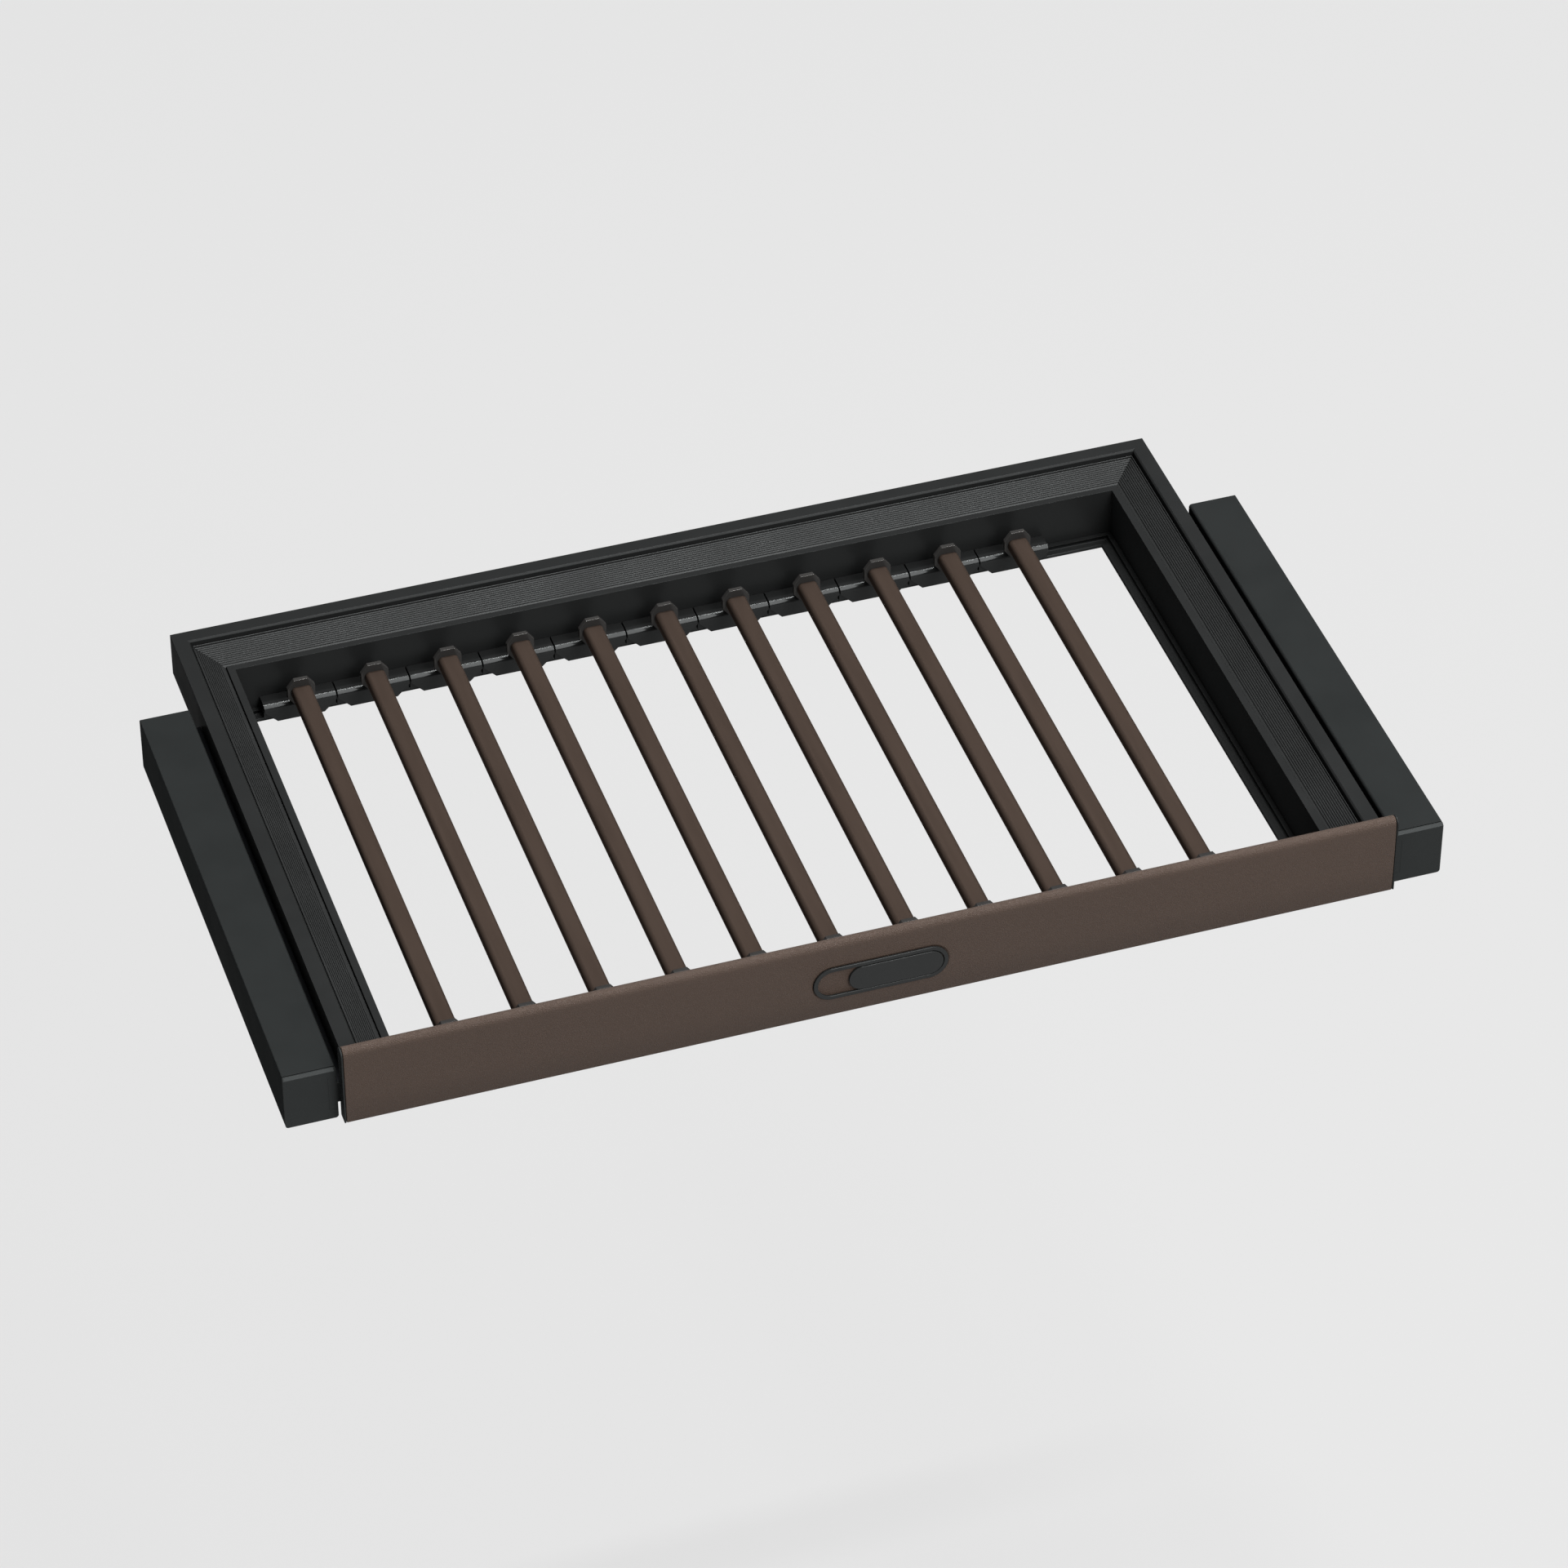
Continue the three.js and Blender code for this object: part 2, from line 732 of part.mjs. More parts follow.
// Frame
const frameSide = frameWidth / 2;
const frontRailLength = frameWidth - 2 * (wallFace + fit);
const rearLeft = [-frameSide, 0, 0];
const rearRight = [frameSide, 0, 0];
const frontStart = [-frontRailLength / 2, -frameDepth, 0];
const sideInsert = cut(insertBar(frameDepth), [planCutter(cornerWaste())]);
addPair('rail', leftRail(), blackCoat, rearLeft);
add('rear_rail', rearBar(railBar(frameWidth)), blackCoat(), rearRight, -Math.PI / 2);
add('front_rail', frontRail(frontRailLength), blackCoat(), frontStart, Math.PI / 2);
addPair('ribbed_insert', sideInsert, ribbedRubber, rearLeft);
add('rear_ribbed_insert', rearBar(insertBar(frameWidth)), ribbedRubber(), rearRight, -Math.PI / 2);

// Fascia and badge
const fasciaWidth = 2 * (housingInside - fasciaMargin);
const leatherWidth = fasciaWidth - 2 * (fasciaCap + fit);
const badgeHeight = -badgeDrop;
const plateRight = ringWidth / 2 - ringBand - plateGap;
const badgeBack = fasciaFront + pocketDepth - fit;
const capMiddle = -(fasciaWidth - fasciaCap) / 2;
add('fascia_board', across(fasciaOutline(leather + fit), leatherWidth), fibreboard(), [0, fasciaFront, 0]);
add('fascia_leather', leatherCover(leatherWidth), brownLeather(), [0, fasciaFront, 0]);
addPair('fascia_cap', across(fasciaOutline(0), fasciaCap), blackPlastic, [capMiddle, fasciaFront, 0]);
add('badge_ring', badgeRing(), blackPlastic(), [0, badgeBack, badgeHeight]);
add('badge_plate', badgePlate(), blackPlastic(), [plateRight - plateWidth / 2, badgeBack, badgeHeight]);

// Bars on their carriers, side by side along the ledge from the left
const carrierShape = carrier(carrierPitch - fit);
const barRear = -wallFace - collarFace - fit;
const barShape = bar(barRear - (frontWall + collarFace + fit));
for (let i = 0; i < barCount; i += 1) {
  const number = String(i + 1).padStart(2, '0');
  const x = ledgeEdge - frameSide + leftFreeLedge + carrierPitch * (i + 0.5);
  add(`bar_${number}`, barShape, brownBarCoat(), [x, barRear, barCentre]);
  add(`front_carrier_${number}`, carrierShape, blackPlastic(), [x, frontWall, 0]);
  add(`rear_carrier_${number}`, carrierShape, blackPlastic(), [x, -wallFace, 0], Math.PI);
}

export default rack;
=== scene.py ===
import math

import bmesh
import bpy
from mathutils import Matrix, Vector


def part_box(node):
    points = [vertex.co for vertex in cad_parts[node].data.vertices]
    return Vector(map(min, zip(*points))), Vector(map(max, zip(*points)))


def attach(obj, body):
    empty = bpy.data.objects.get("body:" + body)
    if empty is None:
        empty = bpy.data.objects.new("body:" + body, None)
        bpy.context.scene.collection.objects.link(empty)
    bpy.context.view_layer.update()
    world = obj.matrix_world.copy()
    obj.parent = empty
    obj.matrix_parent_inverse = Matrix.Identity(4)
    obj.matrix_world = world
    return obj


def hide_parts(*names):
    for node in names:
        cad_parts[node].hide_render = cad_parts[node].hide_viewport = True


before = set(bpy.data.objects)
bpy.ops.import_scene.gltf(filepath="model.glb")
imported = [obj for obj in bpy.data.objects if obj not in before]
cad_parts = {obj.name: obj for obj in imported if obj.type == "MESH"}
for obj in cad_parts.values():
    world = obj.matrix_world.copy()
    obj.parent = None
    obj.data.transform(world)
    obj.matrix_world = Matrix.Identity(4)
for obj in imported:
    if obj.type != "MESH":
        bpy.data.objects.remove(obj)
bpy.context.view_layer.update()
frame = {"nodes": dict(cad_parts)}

bl_info = {
    "name": "Pull-out trouser rack",
    "version": (1, 0, 0),
    "blender": (4, 5, 0),
    "location": "3D View > Sidebar > Rack",
    "description": "Dresses the packed trouser rack: rails, slides, bars, carriers and a leather fascia",
    "category": "Object",
}

MM = 0.001

# Places taken from the frame, in metres
SIDE_LOW, SIDE_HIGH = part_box("left_rail")
REAR_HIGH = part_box("rear_rail")[1]
HOUSING_LOW, HOUSING_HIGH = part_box("left_housing")
CAP_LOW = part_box("left_front_cap")[0]
CABINET_LOW, CABINET_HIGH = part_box("left_cabinet_channel")
MIDDLE_LOW, MIDDLE_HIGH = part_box("left_middle_channel")
DRAWER_LOW, DRAWER_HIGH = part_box("left_drawer_channel")
OUTER_CAGE_LOW, OUTER_CAGE_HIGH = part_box("left_outer_ball_cage")
INNER_CAGE_LOW, INNER_CAGE_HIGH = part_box("left_inner_ball_cage")
LEATHER_LOW, LEATHER_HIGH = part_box("fascia_leather")
RING_LOW, RING_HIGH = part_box("badge_ring")
PLATE_LOW, PLATE_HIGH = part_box("badge_plate")
BAR_LOW, BAR_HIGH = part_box("bar_01")
CARRIER_LOW, CARRIER_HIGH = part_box("rear_carrier_01")
BAR_NUMBERS = sorted(name[-2:] for name in frame["nodes"] if name.startswith("bar_"))

SIDES = ((-1, "left"), (1, "right"))

# Sizes of the rails' section, from the rim inwards
RIM_WIDTH = 12.4 * MM
RIM_BEVEL_WIDTH = 1.3 * MM
RIM_BEVEL_DROP = 1.5 * MM
TRAY_DEPTH = 7.5 * MM
TRAY_FALL = 11 * MM
TRAY_WIDTH = 24 * MM
LIP_HEIGHT = 4.1 * MM
LIP_WIDTH = 6.24 * MM
RAIL_HEIGHT = 41.3 * MM
RAIL_WALL = 2 * MM
FRONT_RAIL_DEPTH = 19.84 * MM
LEDGE_DROP = 58.9 * MM
LEDGE_THICKNESS = 4 * MM
LEDGE_FLAT = 4.26 * MM
SLOT_WIDTH = 1.8 * MM
SLOT_DEPTH = 2.3 * MM
SLOT_LIP = 0.8 * MM
SLOT_RECESS = 2.6 * MM
SLOT_FLOOR = 3.4 * MM
NOSE_STEP = 1.85 * MM
NOSE_WIDTH = 6.4 * MM
CREST_WIDTH = 1.5 * MM
CREST_FALL = 0.8 * MM
NOSE_FLAT_FALL = 0.25 * MM
NOSE_TIP = 0.7 * MM
NOSE_FALL = 1.45 * MM
NOSE_LIP = 1.6 * MM
NOSE_FOOT = 1.8 * MM

# Ribbed inserts
INSERT_OUTER_GAP = 1.4 * MM
INSERT_INNER_GAP = 0.6 * MM
INSERT_EDGE_RISE = 3.74 * MM
INSERT_EDGE_WIDTH = 0.86 * MM
INSERT_RISE = 2.9 * MM
BORDER_WIDTH = 2.3 * MM
BORDER_RISE = 1.9 * MM
INSERT_CHAMFER = 0.2 * MM
RIB_STEPS = 8
INSERT_EDGE_SLOPE = 0.15 * MM

# Side housings and their front caps
HOUSING_TOP_EDGE = 1 * MM
MOUTH_HEIGHT = 33 * MM
MOUTH_DEPTH = 7.12 * MM
MOUTH_PLAY = 0.1 * MM
REAR_WALL = 2.6 * MM
CAP_FACE = 2.63 * MM
CAP_SEAM = 1 * MM
CAP_BEVEL_DROP = 2.4 * MM
CAP_BEVEL_DEPTH = 1.83 * MM
SINK = 0.2 * MM  # of a cap's neck in its neighbours

# Ball slides
SHEET = 1.2 * MM
BALL = 2.5 * MM
BALL_PLAY = 0.1 * MM
CAGE_SHEET = 0.5 * MM
CAGE_PLAY = 0.5 * MM
CAGE_SHOULDER = 1 * MM
RACE_BLEND = 0.3 * MM
RACE_WRAP = math.pi / 6
BALLS_PER_ROW = 6
BUMPER_LEAD = 0.8 * MM
BUMPER_THICKNESS = 1.8 * MM
SHEET_EDGE = 0.2 * MM

# Carriers
FIT = 0.3 * MM
SEAT_HEIGHT = 11 * MM
FLANK_DROP = 6.2 * MM
APRON_THICKNESS = 3.5 * MM
UPRIGHT_WIDTH = 14 * MM
UPRIGHT_BACK = 8 * MM
UPRIGHT_LEAN = 6.5 * MM
UPRIGHT_STEP = 7.4 * MM
BOSS_LENGTH = 2.3 * MM
COLLAR_WIDTH = 23.7 * MM
COLLAR_HEIGHT = 25.6 * MM
COLLAR_THICKNESS = 4 * MM
COLLAR_CORNER_WIDTH = 5.95 * MM
COLLAR_CORNER_HEIGHT = 7.9 * MM
SPIGOT_LENGTH = 15 * MM
COLLAR_STEP = 0.12 * MM
COLLAR_BACK_EDGE = 0.3 * MM
COLLAR_EDGE = 0.06 * MM
POST_EDGE = 0.8 * MM
POST_SINK = 1 * MM
LEAST_BAR_EDGE = 0.2 * MM
BAR_WALL = 1.5 * MM

# Fascia and badge
FASCIA_FOOT = 1.2 * MM
FOOT_BULGE = 0.4  # share of the bulge at the foot
# Height of the painted shade that darkens the leather towards its foot
PAINTED_FOOT_SHADE = 32 * MM
LEATHER = 1.8 * MM
POCKET_DEPTH = 1 * MM
CROWN_CHORDS = 16
TURN_IN_STEPS = 5
FASCIA_CAP_EDGE = 0.65 * MM
RING_EDGE = 0.45 * MM
PLATE_EDGE = 0.4 * MM
POCKET_RISE_START = -0.2 * MM
POCKET_RISE_END = 1.4 * MM
LEAST_SECTION = 0.1 * MM

# Places that follow from the sizes
FRAME_SIDE = -SIDE_LOW.x
RIM = SIDE_HIGH.z
REAR = REAR_HIGH.y
FRAME_FRONT = SIDE_LOW.y
TRAY_OUTER = RIM_WIDTH + RIM_BEVEL_WIDTH
TRAY_INNER = TRAY_OUTER + TRAY_WIDTH
LIP_DROP = TRAY_DEPTH + TRAY_FALL - LIP_HEIGHT
WALL_FACE = TRAY_INNER + LIP_WIDTH
LEDGE_REACH = LEDGE_FLAT + SLOT_WIDTH + NOSE_WIDTH
FRONT_WALL = FRAME_FRONT + FRONT_RAIL_DEPTH
REAR_WALL_FACE = REAR - WALL_FACE
LEDGE_TOP = RIM - LEDGE_DROP
UNDERSIDE = -LEDGE_DROP - LEDGE_THICKNESS
FRAME_LENGTH = REAR - FRAME_FRONT
HOUSING_WIDTH = HOUSING_HIGH.x - HOUSING_LOW.x
HOUSING_MIDDLE = (HOUSING_LOW.z + HOUSING_HIGH.z) / 2
APRON_FACE = LEDGE_REACH + FIT + APRON_THICKNESS
COLLAR_BACK = APRON_FACE + BOSS_LENGTH
CARRIER_TOP = CARRIER_HIGH.z - LEDGE_TOP
BAR_MIDDLE = (BAR_LOW.z + BAR_HIGH.z) / 2
FASCIA_DEPTH = LEATHER_HIGH.y - LEATHER_LOW.y
FASCIA_HEIGHT = LEATHER_HIGH.z - LEATHER_LOW.z
CROWN = FASCIA_HEIGHT - FASCIA_DEPTH / 2  # where the fascia's flat face ends

STRIP_TILT = -17  # the strip lamp, in degrees from upright towards the front
GLINT_TILT = math.radians(16.5)  # a face with this tilt mirrors the strip lamp to the camera
GLINT_WIDTH = 0.9 * MM
HOLD = 0.06 * MM  # thin faces beside the narrow flat, which keep its shading even

EVEN_BELOW = math.radians(38)
SOFT_ABOVE = math.radians(30)


def srgb(*levels):
    """Screen levels from 0 to 255 as the linear colour that Blender keeps"""
    shares = [level / 255 for level in levels]
    return [s / 12.92 if s <= 0.04045 else ((s + 0.055) / 1.055) ** 2.4 for s in shares]


# Sizes and colours that a user may change


def amount(name, description, default, **options):
    return bpy.props.FloatProperty(name=name, description=description, default=default, **options)


def measure(name, description, millimetres):
    return amount(name, description, millimetres * MM, unit="LENGTH")


class RackSizes(bpy.types.PropertyGroup):
    edge: measure("Edge softness", "Rounding of the rails' and mouldings' edges", 0.35)
    rib_count: bpy.props.IntProperty(
        name="Ribs", description="Ribs across each insert", default=11, min=3)
    rib_depth: measure("Rib depth", "Depth of the grooves between the ribs", 1)
    housing_edge: measure("Housing edge", "Rounding of the housings' long edges", 2.5)
    bar_edge: measure("Bar edge", "Rounding of a bar's long edges", 3.8)
    carrier_nose: measure("Carrier nose", "Rounding of a carrier's front top edge", 4.4)
    carrier_seam: measure("Carrier seam", "Width of the dark gap between two carriers", 0.9)
    carrier_end: measure("Carrier end", "Rounding of a carrier's edges", 0.5)
    collar_bevel: measure("Collar bevel", "Bevel round a collar's face", 0.5)
    leather_bulge: measure("Leather bulge", "How far the fascia's face falls away to its edges", 0.9)
    leather_end: measure("Leather end", "Rounding of the leather where it turns in at an end", 0.8)
    ring_band: measure("Ring band", "Width of the badge ring's band", 3.5)
    grain: measure("Leather grain", "Size of the pebbles in the leather", 1.2)


def colour_property(name, description, levels):
    return bpy.props.FloatVectorProperty(
        name=name, description=description, subtype="COLOR", size=3, min=0, max=1, default=srgb(*levels))


class RackColours(bpy.types.PropertyGroup):
    frame: colour_property("Frame", "Matt black coat of the rails", (43, 44, 44))
    housing: colour_property("Housings", "Black plastic of the side housings", (42, 44, 44))
    cap: colour_property("Caps", "Black plastic of the housings' and the fascia's caps", (54, 56, 56))
    carrier: colour_property("Carriers", "Black moulding of the carriers", (50, 51, 51))
    # Painted light: the collars are the carriers' own moulding, made lighter for the light on their faces and
    # slightly warm as a painted reflection of the brown bars
    collar: colour_property("Collars", "Dark moulding of the carriers' collars", (61, 60, 59))
    insert: colour_property("Inserts", "Dark rubber of the ribbed inserts", (53, 54, 54))
    bar: colour_property("Bars", "Brown coat of the bars", (65, 55, 49))
    leather: colour_property("Leather", "Brown leather of the fascia", (79, 64, 55))
    badge: colour_property("Badge", "Black plastic of the badge and its ring", (59, 60, 60))
    steel: colour_property("Slide steel", "Black zinc coat of the slide channels", (40, 41, 43))
    cage: colour_property("Cage steel", "Bright steel of the ball cages", (150, 152, 154))
    board: colour_property("Board", "Fibreboard inside the leather", (139, 115, 85))
    floor: colour_property("Floor", "Floor and backdrop", (228, 228, 228))


class RackLight(bpy.types.PropertyGroup):
    sky: amount("Sky", "Strength of the even light from all round", 0.31, min=0)
    key: amount("Key lamp", "Strength of the soft sun at the front right", 0.85, min=0)
    top: amount("Top lamps", "Power of each of the two softboxes overhead", 135, unit="POWER")
    front: amount("Front lamp", "Power of the softbox above the front", 66, unit="POWER")
    strip: amount(
        "Strip lamp", "Power of the narrow lamp that draws a line on the carriers' noses", 180, unit="POWER")
    floor_lit: amount(
        "Floor bounce", "Grey of the floor to the light that it sends back", 0.4, min=0, max=1)
    floor_share: amount(
        "Floor shadow", "Share of the floor's look that takes the lamps' light and shadow", 0.3, min=0, max=1)
    floor_drop: amount("Floor drop", "Floor, below the rack as it hangs in a wardrobe", 0.9, unit="LENGTH")


# Shader maths


class Value:
    """A number from a shader node, which can be used in a sum"""

    def __init__(self, tree, socket):
        self.tree = tree
        self.socket = socket

    def maths(self, operation, *terms):
        node = self.tree.nodes.new("ShaderNodeMath")
        node.operation = operation
        for slot, term in zip(node.inputs, terms):
            connect(self.tree, slot, term)
        return Value(self.tree, node.outputs[0])

    def __add__(self, other):
        return self.maths("ADD", self, other)

    def __radd__(self, other):
        return self.maths("ADD", other, self)

    def __sub__(self, other):
        return self.maths("SUBTRACT", self, other)

    def __rsub__(self, other):
        return self.maths("SUBTRACT", other, self)

    def __mul__(self, other):
        return self.maths("MULTIPLY", self, other)

    def __rmul__(self, other):
        return self.maths("MULTIPLY", other, self)


def connect(tree, socket, value):
    """Set a socket to a value, or link it to what another node gives"""
    if isinstance(value, Value):
        tree.links.new(value.socket, socket)
    elif isinstance(value, bpy.types.NodeSocket):
        tree.links.new(value, socket)
    else:
        socket.default_value = value


class Finish:
    """A material's nodes, round one Principled shader"""

    def __init__(self, name):
        self.material = bpy.data.materials.new(name)
        self.material.use_nodes = True
        self.tree = self.material.node_tree
        self.shader = self.tree.nodes["Principled BSDF"]
        self.place = self.node("ShaderNodeTexCoord").outputs["Object"]

    def node(self, kind, settings=None, sockets=None):
        node = self.tree.nodes.new(kind)
        for name, value in (settings or {}).items():
            setattr(node, name, value)
        for name, value in (sockets or {}).items():
            connect(self.tree, node.inputs[name], value)
        return node

    def value(self, socket):
        return Value(self.tree, socket)

    def stretched(self, scale):
        """The place on the piece, scaled along each axis"""
        node = self.node("ShaderNodeVectorMath", {"operation": "MULTIPLY"}, {0: self.place, 1: scale})
        return node.outputs[0]

    def noise(self, size, detail=3, roughness=0.5, place=None):
        sockets = {"Vector": place or self.place, "Scale": 1 / size, "Detail": detail, "Roughness": roughness}
        return self.value(self.node("ShaderNodeTexNoise", None, sockets).outputs["Fac"])

    def cells(self, size, feature, place):
        node = self.node("ShaderNodeTexVoronoi", {"feature": feature}, {"Vector": place, "Scale": 1 / size})
        return self.value(node.outputs["Distance"])

    def band(self, value, low, high, to_low=0, to_high=1):
        """A value eased from one level to another between two limits"""
        sockets = {"Value": value, "From Min": low, "From Max": high, "To Min": to_low, "To Max": to_high}
        node = self.node("ShaderNodeMapRange", {"interpolation_type": "SMOOTHSTEP"}, sockets)
        return self.value(node.outputs["Result"])

    def blend(self, share, first, second):
        """A colour between two, by share"""
        node = self.node("ShaderNodeMix", {"data_type": "RGBA"}, {"Factor": share, 6: first, 7: second})
        return node.outputs[2]

    def bump(self, height, distance, strength):
        sockets = {"Height": height, "Distance": distance, "Strength": strength}
        return self.node("ShaderNodeBump", None, sockets).outputs["Normal"]

    def done(self, **sockets):
        for name, value in sockets.items():
            connect(self.tree, self.shader.inputs[name.replace("_", " ")], value)
        return self.material


def tint(colour, factor):
    """A colour made lighter or darker, with full opacity"""
    return [*(min(channel * factor, 1) for channel in colour), 1]


EDGE_GLARE = (0.25, 0.25, 0.25, 1)


def sheen(finish, share):
    """A soft gloss that stays low at a grazing view, where matt black must not take on the floor's glare"""
    finish.done(Specular_IOR_Level=0, Specular_Tint=EDGE_GLARE, Metallic=share)


def coated(colour, name, roughness, grain, depth, gloss_share=0.25, spread=0.14):
    """A powder coat or moulded plastic: fine grain, and faint clouds in its colour and gloss"""
    finish = Finish(name)
    sheen(finish, gloss_share)
    clouds = finish.noise(45 * MM, 4)
    fine = finish.noise(grain * MM, 2, 0.6)
    shade = finish.blend(clouds * 0.6 + fine * 0.4, tint(colour, 1 - spread), tint(colour, 1 + spread))
    gloss = finish.band(clouds, 0.3, 0.7, roughness * 0.85, roughness * 1.15)
    return finish.done(Base_Color=shade, Roughness=gloss, Normal=finish.bump(fine, depth * MM, 0.6))


def streaked(colour):
    """Brown coat with faint streaks along the bar"""
    finish = Finish("Brown bar coat")
    sheen(finish, 0.3)
    streaks = finish.noise(6 * MM, 3, 0.55, finish.stretched((1, 0.08, 1)))
    fine = finish.noise(0.5 * MM, 2, 0.6)
    shade = finish.blend(streaks * 0.75 + fine * 0.25, tint(colour, 0.86), tint(colour, 1.12))
    gloss = finish.band(streaks, 0.3, 0.7, 0.4, 0.5)
    return finish.done(Base_Color=shade, Roughness=gloss, Normal=finish.bump(fine, 0.012 * MM, 0.7))


def pebbled(colour):
    """Pebbled leather: soft rounded cells of two sizes, with slightly darker creases, clouds in its colour,
    and painted shade that darkens it towards its foot
    """
    finish = Finish("Pebbled leather")
    grain = bpy.context.scene.rack_sizes.grain
    warp = finish.node("ShaderNodeTexNoise", None,
                       {"Vector": finish.place, "Scale": 1 / (3 * MM), "Detail": 2})
    shift = finish.node("ShaderNodeVectorMath", {"operation": "SCALE"},
                        {0: warp.outputs["Color"], "Scale": 1.1 * MM}).outputs[0]
    place = finish.node("ShaderNodeVectorMath", {"operation": "ADD"}, {0: finish.place, 1: shift}).outputs[0]
    crease = finish.band(finish.cells(grain, "DISTANCE_TO_EDGE", place), 0.0, 0.3)
    pebble = 1 - finish.cells(grain, "F1", place)
    small = 1 - finish.cells(grain * 0.55, "F1", place)
    fine = finish.noise(0.4 * MM, 3, 0.6, place)
    clouds = finish.noise(60 * MM, 3)
    height = crease * 0.35 + pebble * 0.4 + small * 0.2 + fine * 0.05
    split = finish.node("ShaderNodeSeparateXYZ", None, {"Vector": finish.place})
    above = finish.value(split.outputs["Z"]) - LEATHER_LOW.z
    # Painted shade: the leather's colour darkens over the lowest stretch above its foot
    foot = finish.band(above, 0, PAINTED_FOOT_SHADE)
    dye_and_painted_shade = finish.blend(clouds, tint(colour, 0.92), tint(colour, 1.06))
    dye_and_painted_shade = finish.blend(foot, tint(colour, 0.58), dye_and_painted_shade)
    shade = finish.blend(crease * 0.6 + fine * 0.4, tint(colour, 0.84), dye_and_painted_shade)
    gloss = 0.56 - 0.14 * crease + 0.1 * (1 - fine)
    normal = finish.bump(height, 0.5 * MM, 0.9)
    return finish.done(Base_Color=shade, Roughness=gloss, Normal=normal, Specular_IOR_Level=0.3)


def rolled(colour, name, roughness, stretch):
    """Rolled steel, with fine lines along the sheet"""
    finish = Finish(name)
    lines = finish.noise(1.2 * MM, 3, 0.6, finish.stretched((1, stretch, 1)))
    shade = finish.blend(lines, tint(colour, 0.88), tint(colour, 1.1))
    gloss = finish.band(lines, 0.3, 0.7, roughness - 0.06, roughness + 0.08)
    sheen(finish, 0.85)
    return finish.done(Base_Color=shade, Roughness=gloss, Normal=finish.bump(lines, 0.01 * MM, 0.5))


# What makes each slot's finish, and from what: a colour, then for a coat its name, roughness, grain and depth
# in millimetres, share of gloss and spread of colour, or for steel its name, roughness and stretch
FINISHES = {
    "frame_black": (coated, "frame", "Matt black coat", 0.34, 0.35, 0.006, 0.3),
    "housing_black": (coated, "housing", "Housing plastic", 0.45, 0.5, 0.015),
    "black_plastic": (coated, "cap", "Cap plastic", 0.26, 0.5, 0.005, 0.3),
    "carrier_black": (coated, "carrier", "Carrier moulding", 0.11, 0.6, 0.001, 0.46),
    # The collars' finish is the carriers' moulding painted lighter, as painted light and a painted reflection
    # of the bars
    "collar_black": (coated, "collar", "Collar moulding", 0.16, 0.6, 0.002, 0.3),
    "ribbed_rubber": (coated, "insert", "Ribbed rubber", 0.4, 0.4, 0.008, 0.42),
    "badge_black": (coated, "badge", "Badge plastic", 0.18, 0.3, 0.003, 0.4),
    "fibreboard": (coated, "board", "Fibreboard", 0.85, 1.2, 0.1, 0.25, 0.25),
    "bar_brown": (streaked, "bar"),
    "leather_brown": (pebbled, "leather"),
    "slide_steel": (rolled, "steel", "Black zinc steel", 0.34, 0.05),
    "cage_steel": (rolled, "cage", "Bright steel", 0.28, 0.2),
}
made = {}


def finish_for(slot):
    """The finish of a slot, which is made once"""
    if slot not in made:
        maker, colour, *rest = FINISHES[slot]
        made[slot] = maker(getattr(bpy.context.scene.rack_colours, colour), *rest)
    return made[slot]


# Outlines, as lists of points (u, v)


def arc(centre, radius, start, end, chords):
    turns = [start + (end - start) * i / chords for i in range(chords + 1)]
    return [(centre[0] + radius * math.cos(t), centre[1] + radius * math.sin(t)) for t in turns]


def rounded(corners, chords):
    """Corners (u, v, radius) joined by straight sides, each rounded where it has a radius"""
    points = []
    for i, (u, v, *rest) in enumerate(corners):
        radius = rest[0] if rest else 0
        corner = Vector((u, v))
        last = Vector(corners[i - 1][:2]) - corner
        following = Vector(corners[(i + 1) % len(corners)][:2]) - corner
        if radius <= 0:
            points.append((u, v))
            continue
        half = last.angle(following) / 2
        reach = min(radius / math.tan(half), last.length / 2, following.length / 2)
        middle = (last.normalized() + following.normalized()).normalized()
        centre = corner + middle * (reach / math.cos(half))
        start = corner + last.normalized() * reach - centre
        end = corner + following.normalized() * reach - centre
        turn = math.atan2(start.x * end.y - start.y * end.x, start.dot(end))
        first = math.atan2(start.y, start.x)
        points += arc(centre, start.length, first, first + turn, chords)
    return points


def rectangle(left, bottom, right, top, radius, chords):
    return rounded([(left, bottom, radius), (right, bottom, radius),
                    (right, top, radius), (left, top, radius)], chords)


def strip(line, thickness):
    """A strip of sheet along a centre line, with square ends and mitred bends"""
    points = [Vector(point) for point in line]
    sides = ([], [])
    for i, point in enumerate(points):
        into = (point - points[max(i - 1, 0)]).normalized()
        out = (points[min(i + 1, len(points) - 1)] - point).normalized()
        along = (into + out).normalized()
        shift = thickness / 2 / along.dot(into if i else out)
        for side, sign in zip(sides, (1, -1)):
            side.append((point.x - sign * along.y * shift, point.y + sign * along.x * shift))
    return sides[0] + sides[1][::-1]


def up_and_down(upper):
    return [(u, -v) for u, v in reversed(upper)] + upper


def racetrack(low, high, inset=0):
    radius = (high.z - low.z) / 2 - inset
    return rectangle(low.x + inset, low.z + inset, high.x - inset, high.z - inset, radius, 14)


# Solids, built point by point. A place function turns (u, along, v) into a point of the frame


def ring_of(bm, outline, place, end):
    at = end if callable(end) else lambda u, v: end
    return [bm.verts.new(place(u, at(u, v), v)) for u, v in outline]


def wall_between(bm, first, second):
    for i in range(len(first)):
        bm.faces.new((first[i - 1], first[i], second[i], second[i - 1]))


def prism(outline, place, start, end, bm=None):
    """A closed bar of one outline between two ends, which may be functions of the outline's point"""
    return loft([outline, outline], place, [start, end], bm)


